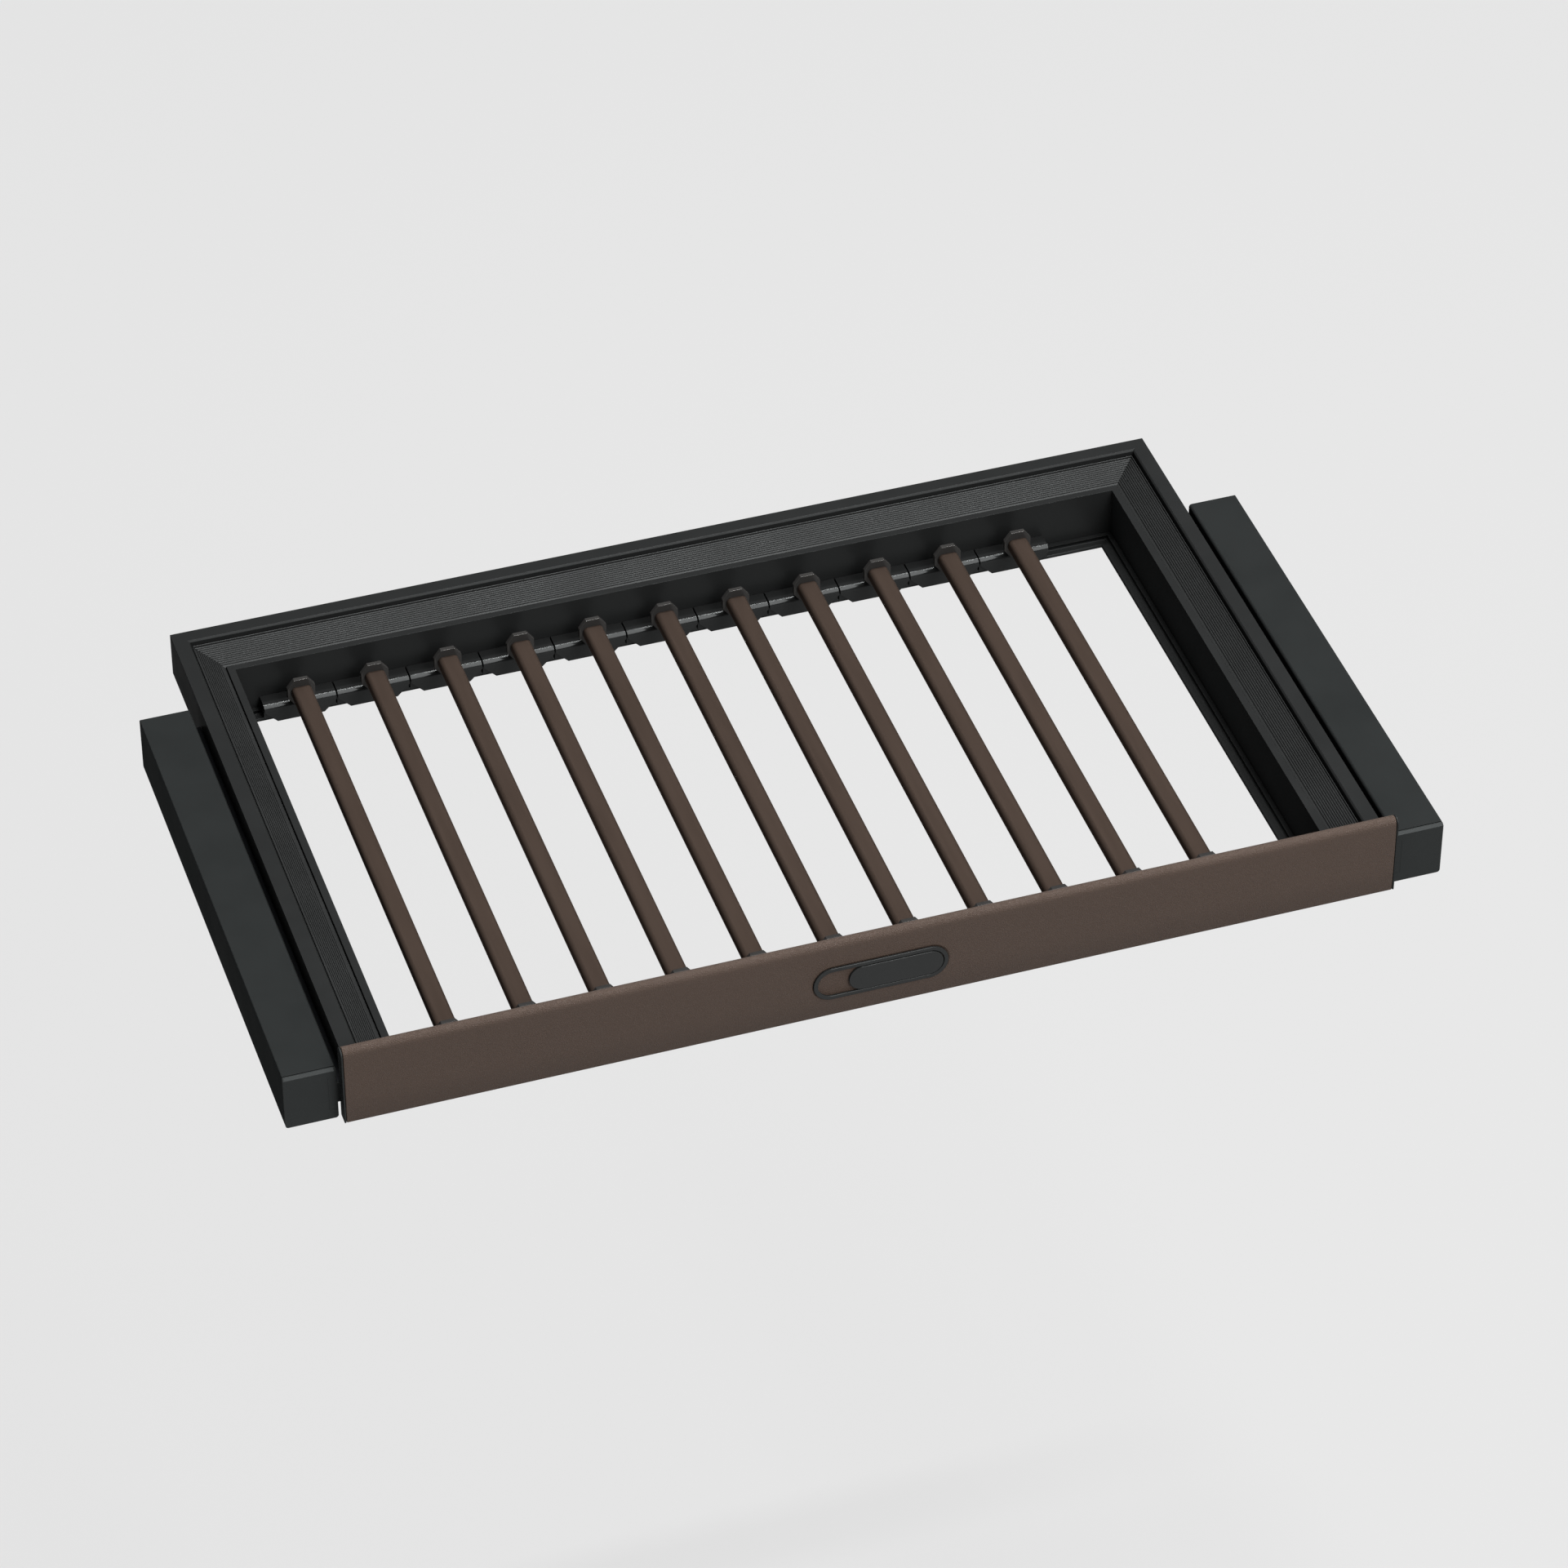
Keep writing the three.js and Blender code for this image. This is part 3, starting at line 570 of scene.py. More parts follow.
def loft(outlines, place, stations, bm=None):
    """A closed solid through several outlines with as many points each, in a new mesh unless one is given"""
    if bm is None:
        bm = bmesh.new()
    rings = [ring_of(bm, outline, place, station) for outline, station in zip(outlines, stations)]
    for first, second in zip(rings, rings[1:]):
        wall_between(bm, first, second)
    bm.faces.new(rings[0])
    bm.faces.new(rings[-1][::-1])
    return bm


def tube(outline, bore, place, start, end):
    """A bar with a bore that has as many points as its outline"""
    bm = bmesh.new()
    outer = [ring_of(bm, outline, place, station) for station in (start, end)]
    inner = [ring_of(bm, bore, place, station) for station in (start, end)]
    wall_between(bm, *outer)
    wall_between(bm, inner[1], inner[0])
    wall_between(bm, inner[0], outer[0])
    wall_between(bm, outer[1], inner[1])
    return bm


def soften(bm, width, segments=2, keep=lambda edge: False):
    """Round every sharp edge, apart from those to keep"""
    bmesh.ops.remove_doubles(bm, verts=bm.verts, dist=0.01 * MM)
    bmesh.ops.recalc_face_normals(bm, faces=bm.faces)
    sharp = [e for e in bm.edges
             if len(e.link_faces) == 2 and e.calc_face_angle(0) > SOFT_ABOVE and not keep(e)]
    bmesh.ops.bevel(bm, geom=sharp, offset=width, offset_type="OFFSET", segments=segments,
                    profile=0.5, affect="EDGES", clamp_overlap=True)


def show(name, data):
    """Put a mesh, lamp or camera into the scene"""
    thing = bpy.data.objects.new(name, data)
    bpy.context.scene.collection.objects.link(thing)
    return thing


def add_piece(bm, name, slot, body, *nodes, look=None):
    """Make an object of the mesh, in its finish, on its body, for the nodes that it stands for"""
    if not bm.faces:
        raise RuntimeError(f"{name} has no faces")
    bmesh.ops.recalc_face_normals(bm, faces=bm.faces)
    mesh = bpy.data.meshes.new(name)
    bm.to_mesh(mesh)
    bm.free()
    mesh.shade_smooth()
    mesh.set_sharp_from_angle(angle=EVEN_BELOW)
    mesh.materials.append(finish_for(look or slot))
    piece = show(name, mesh)
    even = piece.modifiers.new("Even shading", "WEIGHTED_NORMAL")
    even.keep_sharp = True
    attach(piece, body)
    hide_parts(*nodes)
    return piece


# Frame


def side_place(side):
    """u inboard from a side rail's outer face, along forward from the rear, v above the rim"""
    return lambda u, along, v: (side * (FRAME_SIDE - u), REAR - along, RIM + v)


def rear_place(u, along, v):
    return (along - FRAME_SIDE, REAR - u, RIM + v)


def front_place(u, along, v):
    return (along, FRAME_FRONT + u, RIM + v)


def tray_floor(u):
    return -TRAY_DEPTH - TRAY_FALL * (u - TRAY_OUTER) / TRAY_WIDTH


def box_outline():
    return [
        (0, -RAIL_HEIGHT),
        (0, 0),
        (RIM_WIDTH, 0),
        (TRAY_OUTER, -RIM_BEVEL_DROP),
        (TRAY_OUTER, -TRAY_DEPTH),
        (TRAY_INNER, tray_floor(TRAY_INNER)),
        (TRAY_INNER, -LIP_DROP),
        (WALL_FACE, -LIP_DROP),
        (WALL_FACE, UNDERSIDE),
        (WALL_FACE - RAIL_WALL, UNDERSIDE),
        (WALL_FACE - RAIL_WALL, -RAIL_HEIGHT),
    ]


def ledge_outline(wall):
    slot = wall + LEDGE_FLAT
    nose = slot + SLOT_WIDTH
    edge = wall + LEDGE_REACH
    nose_top = -LEDGE_DROP - NOSE_STEP
    nose_edge = nose_top - CREST_FALL - NOSE_FALL
    return [
        (wall, -LEDGE_DROP),
        (slot, -LEDGE_DROP),
        (slot, -LEDGE_DROP - SLOT_LIP),
        (slot - SLOT_RECESS, -LEDGE_DROP - SLOT_LIP),
        (slot - SLOT_RECESS, -LEDGE_DROP - SLOT_FLOOR),
        (nose, -LEDGE_DROP - SLOT_FLOOR),
        (nose, nose_top),
        (nose + CREST_WIDTH, nose_top - CREST_FALL),
        (edge - NOSE_TIP, nose_top - CREST_FALL - NOSE_FLAT_FALL),
        (edge, nose_edge),
        (edge, nose_edge - NOSE_LIP),
        (edge - NOSE_FOOT, nose_edge - NOSE_LIP),
        (nose + CREST_WIDTH, UNDERSIDE),
        (wall, UNDERSIDE),
    ]


def is_mitre(edge):
    """Whether an edge lies across a rail, as those at a mitred or butted end do"""
    a, b = (vert.co for vert in edge.verts)
    return min(abs(a.x - b.x), abs(a.y - b.y)) > 0.001 * MM or abs(a.x - b.x) < 0.1 and abs(a.y - b.y) < 0.1


def build_rails(sizes):
    half = FRAME_SIDE - WALL_FACE
    mitre = lambda u, v: u
    far = lambda u, v: 2 * FRAME_SIDE - u
    front_mitre = lambda u, v: FRAME_LENGTH - FRONT_RAIL_DEPTH - (u - WALL_FACE)
    left_mitre = lambda u, v: u - FRONT_RAIL_DEPTH - half
    right_mitre = lambda u, v: -left_mitre(u, v)
    box, ledge, front_ledge = box_outline(), ledge_outline(WALL_FACE), ledge_outline(FRONT_RAIL_DEPTH)
    front_box = [
        (0, -RAIL_HEIGHT),
        (0, -LIP_DROP),
        (FRONT_RAIL_DEPTH, -LIP_DROP),
        (FRONT_RAIL_DEPTH, UNDERSIDE),
        (FRONT_RAIL_DEPTH - RAIL_WALL, UNDERSIDE),
        (FRONT_RAIL_DEPTH - RAIL_WALL, -RAIL_HEIGHT),
    ]
    rails = [(name, side_place(side), (box, mitre, FRAME_LENGTH), (ledge, mitre, front_mitre))
             for side, name in SIDES]
    rails += [
        ("rear", rear_place, (box, mitre, far), (ledge, mitre, far)),
        ("front", front_place, (front_box, FIT - half, half - FIT), (front_ledge, left_mitre, right_mitre)),
    ]
    for name, place, *runs in rails:
        bm = bmesh.new()
        for outline, start, end in runs:
            prism(outline, place, start, end, bm)
        soften(bm, sizes.edge, keep=is_mitre)
        add_piece(bm, f"{name}_frame_rail", "frame_black", "frame", f"{name}_rail")


def insert_outline(rib_count, rib_depth):
    outer = TRAY_OUTER + INSERT_OUTER_GAP
    inner = TRAY_INNER - INSERT_INNER_GAP
    start = outer + INSERT_EDGE_WIDTH
    pitch = (inner - BORDER_WIDTH - start) / rib_count
    rise = lambda u, above: (u, tray_floor(u) + above)
    points = [
        rise(outer, FIT),
        rise(outer, INSERT_EDGE_RISE - INSERT_CHAMFER),
        rise(outer + INSERT_CHAMFER, INSERT_EDGE_RISE),
        rise(start - INSERT_EDGE_SLOPE, INSERT_EDGE_RISE),
    ]
    for rib in range(rib_count):
        for step in range(RIB_STEPS):
            share = step / RIB_STEPS
            height = math.sin(math.pi * share) ** 0.4
            points.append(rise(start + (rib + share) * pitch, INSERT_RISE - rib_depth * (1 - height)))
    points.append(rise(inner - BORDER_WIDTH, INSERT_RISE - rib_depth))
    return points + [
        rise(inner - BORDER_WIDTH + INSERT_CHAMFER, BORDER_RISE),
        rise(inner - INSERT_CHAMFER, BORDER_RISE),
        rise(inner, BORDER_RISE - INSERT_CHAMFER),
        rise(inner, FIT),
    ]


def build_inserts(sizes):
    outline = insert_outline(sizes.rib_count, sizes.rib_depth)
    gap = FIT / 3
    rails = [(name, side_place(side), FRAME_LENGTH) for side, name in SIDES]
    rails.append(("rear", rear_place, lambda u, v: 2 * FRAME_SIDE - u - gap))
    for name, place, end in rails:
        bm = prism(outline, place, lambda u, v: u + gap, end)
        add_piece(bm, f"{name}_ribbed_strip", "ribbed_rubber", "frame", f"{name}_ribbed_insert")


# Side housings. u is inboard from the wardrobe's side, along runs backward, v is up


def housing_place(side):
    return lambda u, along, v: (side * (-HOUSING_LOW.x - u), along, v)


def housing_outline(sizes, inset, with_mouth):
    left = inset
    right = HOUSING_WIDTH - inset
    low = HOUSING_LOW.z + inset
    high = HOUSING_HIGH.z - inset
    floor = HOUSING_WIDTH - MOUTH_DEPTH
    upper, lower = HOUSING_MIDDLE + MOUTH_HEIGHT / 2, HOUSING_MIDDLE - MOUTH_HEIGHT / 2
    mouth = [(right, upper), (floor, upper), (floor, lower), (right, lower)]
    edge = sizes.housing_edge
    return rounded([
        (left, low, edge),
        (left, high, HOUSING_TOP_EDGE),
        (right, high, edge),
        *(mouth if with_mouth else []),
        (right, low, edge),
    ], 8)


def in_mouth(edge):
    """Whether an edge lies on the slot that the slide runs in"""
    floor = -HOUSING_HIGH.x + MOUTH_DEPTH
    near = 0.05 * MM
    return all(abs(vert.co.z - HOUSING_MIDDLE) < MOUTH_HEIGHT / 2 + near and abs(vert.co.x) < floor + near
               for vert in edge.verts)


def build_housings(sizes):
    for side, name in SIDES:
        place = housing_place(side)
        wall = HOUSING_HIGH.y - REAR_WALL
        bm = prism(housing_outline(sizes, 0, True), place, HOUSING_LOW.y, wall)
        prism(housing_outline(sizes, 0, False), place, wall, HOUSING_HIGH.y, bm)
        seam = lambda e: all(abs(v.co.y - wall) < 0.01 * MM for v in e.verts)
        soften(bm, sizes.edge, 3, keep=seam)
        add_piece(bm, f"{name}_housing_shell", "housing_black", "housings", f"{name}_housing")

        full = housing_outline(sizes, 0, True)
        shelf = CAP_LOW.y + CAP_BEVEL_DEPTH
        top = HOUSING_HIGH.z - CAP_BEVEL_DROP
        clipped = [(u, min(v, top)) for u, v in full]
        bm = loft([clipped, full, full], place, [CAP_LOW.y, shelf, CAP_LOW.y + CAP_FACE])
        neck = housing_outline(sizes, CAP_SEAM, True)
        prism(neck, place, CAP_LOW.y + CAP_FACE - SINK, HOUSING_LOW.y + SINK, bm)
        soften(bm, sizes.edge, 3, keep=in_mouth)
        add_piece(bm, f"{name}_housing_cap", "black_plastic", "housings", f"{name}_front_cap")


# Ball slides. u is inboard from the back of the cabinet channel, v above the slide's middle


RACE = BALL / 2 + BALL_PLAY + SHEET / 2
DIAGONAL = RACE * math.sqrt(0.5)
MIDDLE_WEB = 1.5 * SHEET + 2 * CAGE_PLAY + CAGE_SHEET
SLIDE_HEIGHT = CABINET_HIGH.z - CABINET_LOW.z
SLIDE_DEPTH = DRAWER_HIGH.x - CABINET_LOW.x
OUTER_ROW = (MIDDLE_WEB + DIAGONAL, SLIDE_HEIGHT / 2 - SHEET / 2 - RACE)
INNER_ROW = (OUTER_ROW[0] + 2 * DIAGONAL + RACE_BLEND, OUTER_ROW[1] - 2 * DIAGONAL + RACE_BLEND)


def cabinet_section():
    line = [(SHEET / 2, SLIDE_HEIGHT / 2 - SHEET / 2), *arc(OUTER_ROW, RACE, math.pi / 2, RACE_WRAP, 8)]
    return strip(up_and_down(line), SHEET)


def middle_section():
    line = [
        (MIDDLE_WEB, OUTER_ROW[1] - RACE),
        *arc(OUTER_ROW, RACE, -math.pi / 2, -math.pi / 4, 6),
        *arc(INNER_ROW, RACE, 3 * math.pi / 4, RACE_WRAP, 10),
    ]
    return strip(up_and_down(line), SHEET)


def drawer_section():
    face = SLIDE_DEPTH - SHEET / 2
    line = [(face, INNER_ROW[1] - RACE), *arc(INNER_ROW, RACE, -math.pi / 2, -3 * math.pi / 4, 6)]
    return strip(up_and_down(line), SHEET)


def bumper_section():
    """The plate in front of a drawer channel, which closes the mouth"""
    mouth_edge = HOUSING_HIGH.x - CABINET_LOW.x
    low, high = INNER_ROW[1] - RACE + SHEET / 2, MOUTH_HEIGHT / 2 - MOUTH_PLAY
    back = mouth_edge - MOUTH_DEPTH + MOUTH_PLAY
    return up_and_down([(SLIDE_DEPTH, low), (mouth_edge, low), (mouth_edge, high), (back, high)])


def outer_cage_section():
    web = SHEET + CAGE_PLAY + CAGE_SHEET / 2
    return strip(up_and_down([(web, OUTER_ROW[1]), OUTER_ROW]), CAGE_SHEET)


def inner_cage_section():
    web = MIDDLE_WEB + SHEET / 2 + CAGE_PLAY + CAGE_SHEET / 2
    return strip(up_and_down([(web, INNER_ROW[1] - CAGE_SHOULDER), INNER_ROW]), CAGE_SHEET)


def build_slides(sizes):
    middle = (CABINET_LOW.z + CABINET_HIGH.z) / 2
    channels = [
        ("cabinet_channel", cabinet_section(), CABINET_LOW.y, CABINET_HIGH.y, "housings"),
        ("middle_channel", middle_section(), MIDDLE_LOW.y, MIDDLE_HIGH.y, "{}_middle"),
        ("drawer_channel", drawer_section(), DRAWER_LOW.y + BUMPER_LEAD, DRAWER_HIGH.y, "frame"),
    ]
    cages = [
        ("outer_ball_cage", outer_cage_section(), OUTER_ROW, OUTER_CAGE_LOW, OUTER_CAGE_HIGH, "outer_cage"),
        ("inner_ball_cage", inner_cage_section(), INNER_ROW, INNER_CAGE_LOW, INNER_CAGE_HIGH, "inner_cage"),
    ]
    for side, name in SIDES:
        place = lambda u, along, v: (side * (-CABINET_LOW.x - u), along, middle + v)
        for node, section, start, end, body in channels:
            bm = prism(section, place, start, end)
            soften(bm, SHEET_EDGE)
            add_piece(bm, f"{name}_{node}_sheet", "slide_steel", body.format(name), f"{name}_{node}")
        bm = prism(bumper_section(), place, CAP_LOW.y, DRAWER_LOW.y + BUMPER_THICKNESS)
        soften(bm, MOUTH_PLAY / 2, 1)
        add_piece(bm, f"{name}_slide_bumper", "black_plastic", "frame", f"{name}_drawer_channel")
        for node, section, row, low, high, body in cages:
            bm = prism(section, place, low.y, high.y)
            spacing = (high.y - low.y) / BALLS_PER_ROW
            for i in range(2 * BALLS_PER_ROW):
                sign = 1 if i % 2 else -1
                centre = place(row[0], high.y - spacing * (i // 2 + 0.5), sign * row[1])
                ball = bmesh.ops.create_uvsphere(bm, u_segments=14, v_segments=9, radius=BALL / 2)
                bmesh.ops.translate(bm, verts=ball["verts"], vec=centre)
            add_piece(bm, f"{name}_{node}_balls", "cage_steel", f"{name}_{body}", f"{name}_{node}")


# Bars and carriers


def bar_outline(inset, edge):
    width = (BAR_HIGH.x - BAR_LOW.x) / 2 - inset
    height = (BAR_HIGH.z - BAR_LOW.z) / 2 - inset
    return rectangle(-width, -height, width, height, max(edge - inset, LEAST_BAR_EDGE), 8)


def build_bars(sizes):
    for number in BAR_NUMBERS:
        low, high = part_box(f"bar_{number}")
        centre = (low.x + high.x) / 2
        place = lambda u, along, v: (centre + u, along, BAR_MIDDLE + v)
        bm = tube(bar_outline(0, sizes.bar_edge), bar_outline(BAR_WALL, sizes.bar_edge), place, low.y, high.y)
        add_piece(bm, f"bar_tube_{number}", "bar_brown", f"hanger_{number}", f"bar_{number}")


def seat_outline(sizes, tab):
    """A carrier's section: u out from the rail's wall, v above the ledge, tab its lowest edge"""
    nose = LEDGE_FLAT + SLOT_WIDTH
    apron = LEDGE_REACH + FIT
    nose_top = FIT - NOSE_STEP
    radius = sizes.carrier_nose
    return [
        (FIT, FIT),
        (LEDGE_FLAT + FIT, FIT),
        (LEDGE_FLAT + FIT, FIT - SLOT_DEPTH),
        (nose - FIT, FIT - SLOT_DEPTH),
        (nose - FIT, nose_top),
        (nose + CREST_WIDTH, nose_top - CREST_FALL),
        (LEDGE_REACH - NOSE_TIP + FIT / 2, nose_top - CREST_FALL - NOSE_FLAT_FALL),
        (apron, nose_top - CREST_FALL - NOSE_FALL),
        (apron, tab),
        (APRON_FACE, tab),
        *((APRON_FACE - radius + u, SEAT_HEIGHT + v) for u, v in nose_line(radius)),
        (FIT, SEAT_HEIGHT),
    ]


def nose_line(radius):
    """A rounded edge from its foot up to a narrow flat that catches the strip lamp"""
    first = GLINT_TILT + math.radians(3.5)
    steps = [(HOLD, GLINT_TILT / 2), (GLINT_WIDTH, GLINT_TILT), (HOLD, GLINT_TILT + math.radians(1.5))]
    chords = 12
    turns = [first + (math.pi / 2 - first) * i / chords for i in range(chords, -1, -1)]
    points = [(radius * math.sin(turn), radius * (math.cos(turn) - 1)) for turn in turns]
    for length, tilt in reversed(steps):
        u, v = points[-1]
        points.append((u - length * math.cos(tilt), v + length * math.sin(tilt)))
    rise = points[-1][1]
    return [(u, v - rise) for u, v in points]


def seat(sizes, place, width):
    """The part that rides on the ledge, with a tab in front whose flanks slope at 45 degrees"""
    low = CARRIER_LOW.z - LEDGE_TOP
    high = SEAT_HEIGHT - FLANK_DROP
    level = FIT - NOSE_STEP - CREST_FALL - NOSE_FALL
    half = width / 2
    tabs = [high, level, low, low, level, high]
    offsets = [0, high - level, high - low]
    across = [-half + o for o in offsets] + [half - o for o in reversed(offsets)]
    return loft([seat_outline(sizes, tab) for tab in tabs], place, across)


def carrier_mesh(sizes, place, width):
    bm = seat(sizes, place, width)
    soften(bm, sizes.carrier_end, 3)
    bottom = CARRIER_TOP - COLLAR_HEIGHT
    step = CARRIER_TOP - UPRIGHT_STEP
    post_outline = [
        (UPRIGHT_BACK, SEAT_HEIGHT - POST_SINK),
        (UPRIGHT_BACK + UPRIGHT_LEAN, step),
        (COLLAR_BACK + POST_SINK, step),
        (COLLAR_BACK + POST_SINK, bottom + POST_SINK),
        (COLLAR_BACK, bottom + POST_SINK),
        (APRON_FACE - sizes.carrier_nose, SEAT_HEIGHT - POST_SINK),
    ]
    post = prism(post_outline, place, -UPRIGHT_WIDTH / 2, UPRIGHT_WIDTH / 2)
    soften(post, POST_EDGE, 3)
    join_into(bm, post)
    return bm


def collar_mesh(sizes, place):
    """The eight-sided collar that takes a bar's end, and the spigot inside the bar"""
    face = COLLAR_BACK + COLLAR_THICKNESS
    forward = lambda u, along, v: place(along, u, v)
    middle = CARRIER_TOP - COLLAR_HEIGHT / 2
    glint = sizes.collar_bevel * math.tan(GLINT_TILT)
    insets = (COLLAR_BACK_EDGE, 0, 0, glint, glint + COLLAR_STEP)
    depths = (0, COLLAR_BACK_EDGE, COLLAR_THICKNESS - sizes.collar_bevel - COLLAR_STEP,
              COLLAR_THICKNESS - COLLAR_STEP, COLLAR_THICKNESS)
    bm = loft([collar_outline(middle, inset) for inset in insets], forward, [COLLAR_BACK + d for d in depths])
    soften(bm, COLLAR_EDGE, 1)
    end = [(u, v + (BAR_MIDDLE - LEDGE_TOP)) for u, v in bar_outline(BAR_WALL + FIT, sizes.bar_edge)]
    spigot = prism(end, forward, face - POST_SINK, face + SPIGOT_LENGTH)
    join_into(bm, spigot)
    return bm


def collar_outline(middle, inset):
    right = COLLAR_WIDTH / 2 - inset
    top = COLLAR_HEIGHT / 2 - inset
    near_right = COLLAR_WIDTH / 2 - COLLAR_CORNER_WIDTH - inset * 0.45
    near_top = COLLAR_HEIGHT / 2 - COLLAR_CORNER_HEIGHT - inset * 0.45
    quarter = [(near_right, top), (right, near_top)]
    half = quarter + [(u, -v) for u, v in reversed(quarter)]
    return [(u, middle + v) for u, v in half + [(-u, v) for u, v in reversed(half)]]


def join_into(bm, other):
    """Add another mesh's faces, and free it"""
    copies = {vert: bm.verts.new(vert.co) for vert in other.verts}
    for face in other.faces:
        bm.faces.new([copies[vert] for vert in face.verts])
    other.free()


def build_carriers(sizes):
    width = CARRIER_HIGH.x - CARRIER_LOW.x - sizes.carrier_seam
    for number in BAR_NUMBERS:
        low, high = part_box(f"bar_{number}")
        centre = (low.x + high.x) / 2
        ends = {
            "rear": lambda out, across, v: (centre + across, REAR_WALL_FACE - out, LEDGE_TOP + v),
            "front": lambda out, across, v: (centre - across, FRONT_WALL + out, LEDGE_TOP + v),
        }
        for end, place in ends.items():
            shared = ("carrier_black", f"hanger_{number}", f"{end}_carrier_{number}")
            add_piece(carrier_mesh(sizes, place, width), f"{end}_bar_carrier_{number}", *shared)
            # The collar takes the carriers' moulding painted lighter, as painted light and a painted
            # reflection of the bars
            add_piece(collar_mesh(sizes, place), f"{end}_bar_collar_{number}", *shared, look="collar_black")


# Fascia. u is the depth behind its front face, v the height above its foot


def fascia_outline(rows, bulge):
    """The section from the foot of the front face, up, over the crown and down the back"""
    depth, height, foot = FASCIA_DEPTH, FASCIA_HEIGHT, FASCIA_FOOT
    fall = lambda v: bulge * (FOOT_BULGE if 2 * v < height else 1) * abs(2 * v / height - 1) ** 3
    fallen = lambda line: [(u + fall(v) * max(0, 1 - u / depth * 2), v) for u, v in line]
    front = [(fall(v), v) for v in rows]
    over = fallen(arc((depth / 2, CROWN), depth / 2, math.pi, 0, CROWN_CHORDS))
    back = [(depth, v) for v in reversed(rows[::4])]
    heel = arc((depth - foot, foot), foot, 0, -math.pi / 2, 4)
    toe = fallen(arc((foot, foot), foot, -math.pi / 2, -math.pi, 4))
    return front + over[1:] + back + heel + toe[:-1]


def smooth_step(low, high, x):
    share = min(max((x - low) / (high - low), 0), 1)
    return share * share * (3 - 2 * share)


def ring_distance(x, z):
    """How far a point of the face is outside the badge ring's outer edge, negative inside"""
    radius = (RING_HIGH.z - RING_LOW.z) / 2
    reach = (RING_HIGH.x - RING_LOW.x) / 2 - radius
    dx = max(abs(x) - reach, 0)
    return math.hypot(dx, z - (RING_LOW.z + radius)) - radius


def build_leather(sizes):
    fine, coarse, margin = 0.7 * MM, 3 * MM, 3 * MM
    rows = graded(FASCIA_FOOT, CROWN, RING_LOW.z - LEATHER_LOW.z - margin,
                  RING_HIGH.z - LEATHER_LOW.z + margin, coarse, fine)
    columns = graded(LEATHER_LOW.x + sizes.leather_end, LEATHER_HIGH.x - sizes.leather_end,
                     RING_LOW.x - margin, RING_HIGH.x + margin, coarse, fine)
    outline = fascia_outline(rows, sizes.leather_bulge)
    centre_u = FASCIA_DEPTH / 2

    def pulled_in(point, inset):
        """An outline's point moved towards the inside of the section"""
        u, v = point
        core_v = min(max(v, centre_u), CROWN)
        away = Vector((u - centre_u, v - core_v))
        if abs(away.y) < 1e-9:
            return (u - math.copysign(inset, u - centre_u), v)
        away.length = max(away.length - inset, LEAST_SECTION)
        return (centre_u + away.x, core_v + away.y)

    def surface(x, point):
        u, v = point
        z = LEATHER_LOW.z + v
        if u < centre_u and FASCIA_FOOT < v < CROWN:
            rise = smooth_step(POCKET_RISE_START, POCKET_RISE_END, ring_distance(x, z))
            u += POCKET_DEPTH * (1 - rise)
        return (x, LEATHER_LOW.y + u, z)

    bm = bmesh.new()
    turns = [math.pi / 2 * i / TURN_IN_STEPS for i in range(TURN_IN_STEPS)]
    end = sizes.leather_end
    turned = [(end * (1 - math.cos(turn)), end * (1 - math.sin(turn))) for turn in turns]
    stations = [(LEATHER_LOW.x + shift, inset) for shift, inset in turned]
    stations += [(x, 0) for x in columns]
    stations += [(LEATHER_HIGH.x - shift, inset) for shift, inset in reversed(turned)]
    rings = []
    for x, inset in stations:
        line = [pulled_in(point, inset) for point in outline] if inset else outline
        rings.append([bm.verts.new(surface(x, point)) for point in line])
    for first, second in zip(rings, rings[1:]):
        wall_between(bm, first, second)
    lining = [
        [bm.verts.new((x, LEATHER_LOW.y + u, LEATHER_LOW.z + v))
         for u, v in (pulled_in(p, LEATHER) for p in outline)]
        for x in (LEATHER_LOW.x, LEATHER_HIGH.x)
    ]
    wall_between(bm, lining[1], lining[0])
    wall_between(bm, lining[0], rings[0])
    wall_between(bm, rings[-1], lining[1])
    cover = add_piece(bm, "leather_cover", "leather_brown", "frame", "fascia_leather")


def graded(start, end, fine_start, fine_end, coarse, fine):
    """Places from start to end, close together between fine_start and fine_end"""
    places = []
    stretches = ((start, fine_start, coarse), (fine_start, fine_end, fine), (fine_end, end, coarse))
    for low, high, step in stretches:
        count = max(round((high - low) / step), 1)
        places += [low + (high - low) * i / count for i in range(count)]
    return places + [end]


def build_fascia(sizes):
    build_leather(sizes)
    rows = [FASCIA_FOOT, FASCIA_HEIGHT / 2, CROWN]
    for name in ("left", "right"):
        low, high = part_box(f"{name}_fascia_cap")
        place = lambda u, along, v: (along, low.y + u, low.z + v)
        bm = prism(fascia_outline(rows, 0), place, low.x, high.x)
        soften(bm, FASCIA_CAP_EDGE, 4)
        add_piece(bm, f"{name}_fascia_end", "black_plastic", "frame", f"{name}_fascia_cap")
    board = frame["nodes"]["fascia_board"]
    board.data.materials.clear()
    board.data.materials.append(finish_for("fibreboard"))


def build_badge(sizes):
    place = lambda u, along, v: (u, along, v)
    outer, inner = racetrack(RING_LOW, RING_HIGH), racetrack(RING_LOW, RING_HIGH, sizes.ring_band)
    bm = tube(outer, inner, place, RING_LOW.y, RING_HIGH.y)
    soften(bm, RING_EDGE, 4)
    add_piece(bm, "inlaid_ring", "badge_black", "frame", "badge_ring")
    bm = prism(racetrack(PLATE_LOW, PLATE_HIGH), place, PLATE_LOW.y, PLATE_HIGH.y)
    soften(bm, PLATE_EDGE, 4)
    add_piece(bm, "raised_plate", "badge_black", "frame", "badge_plate")


# Stage


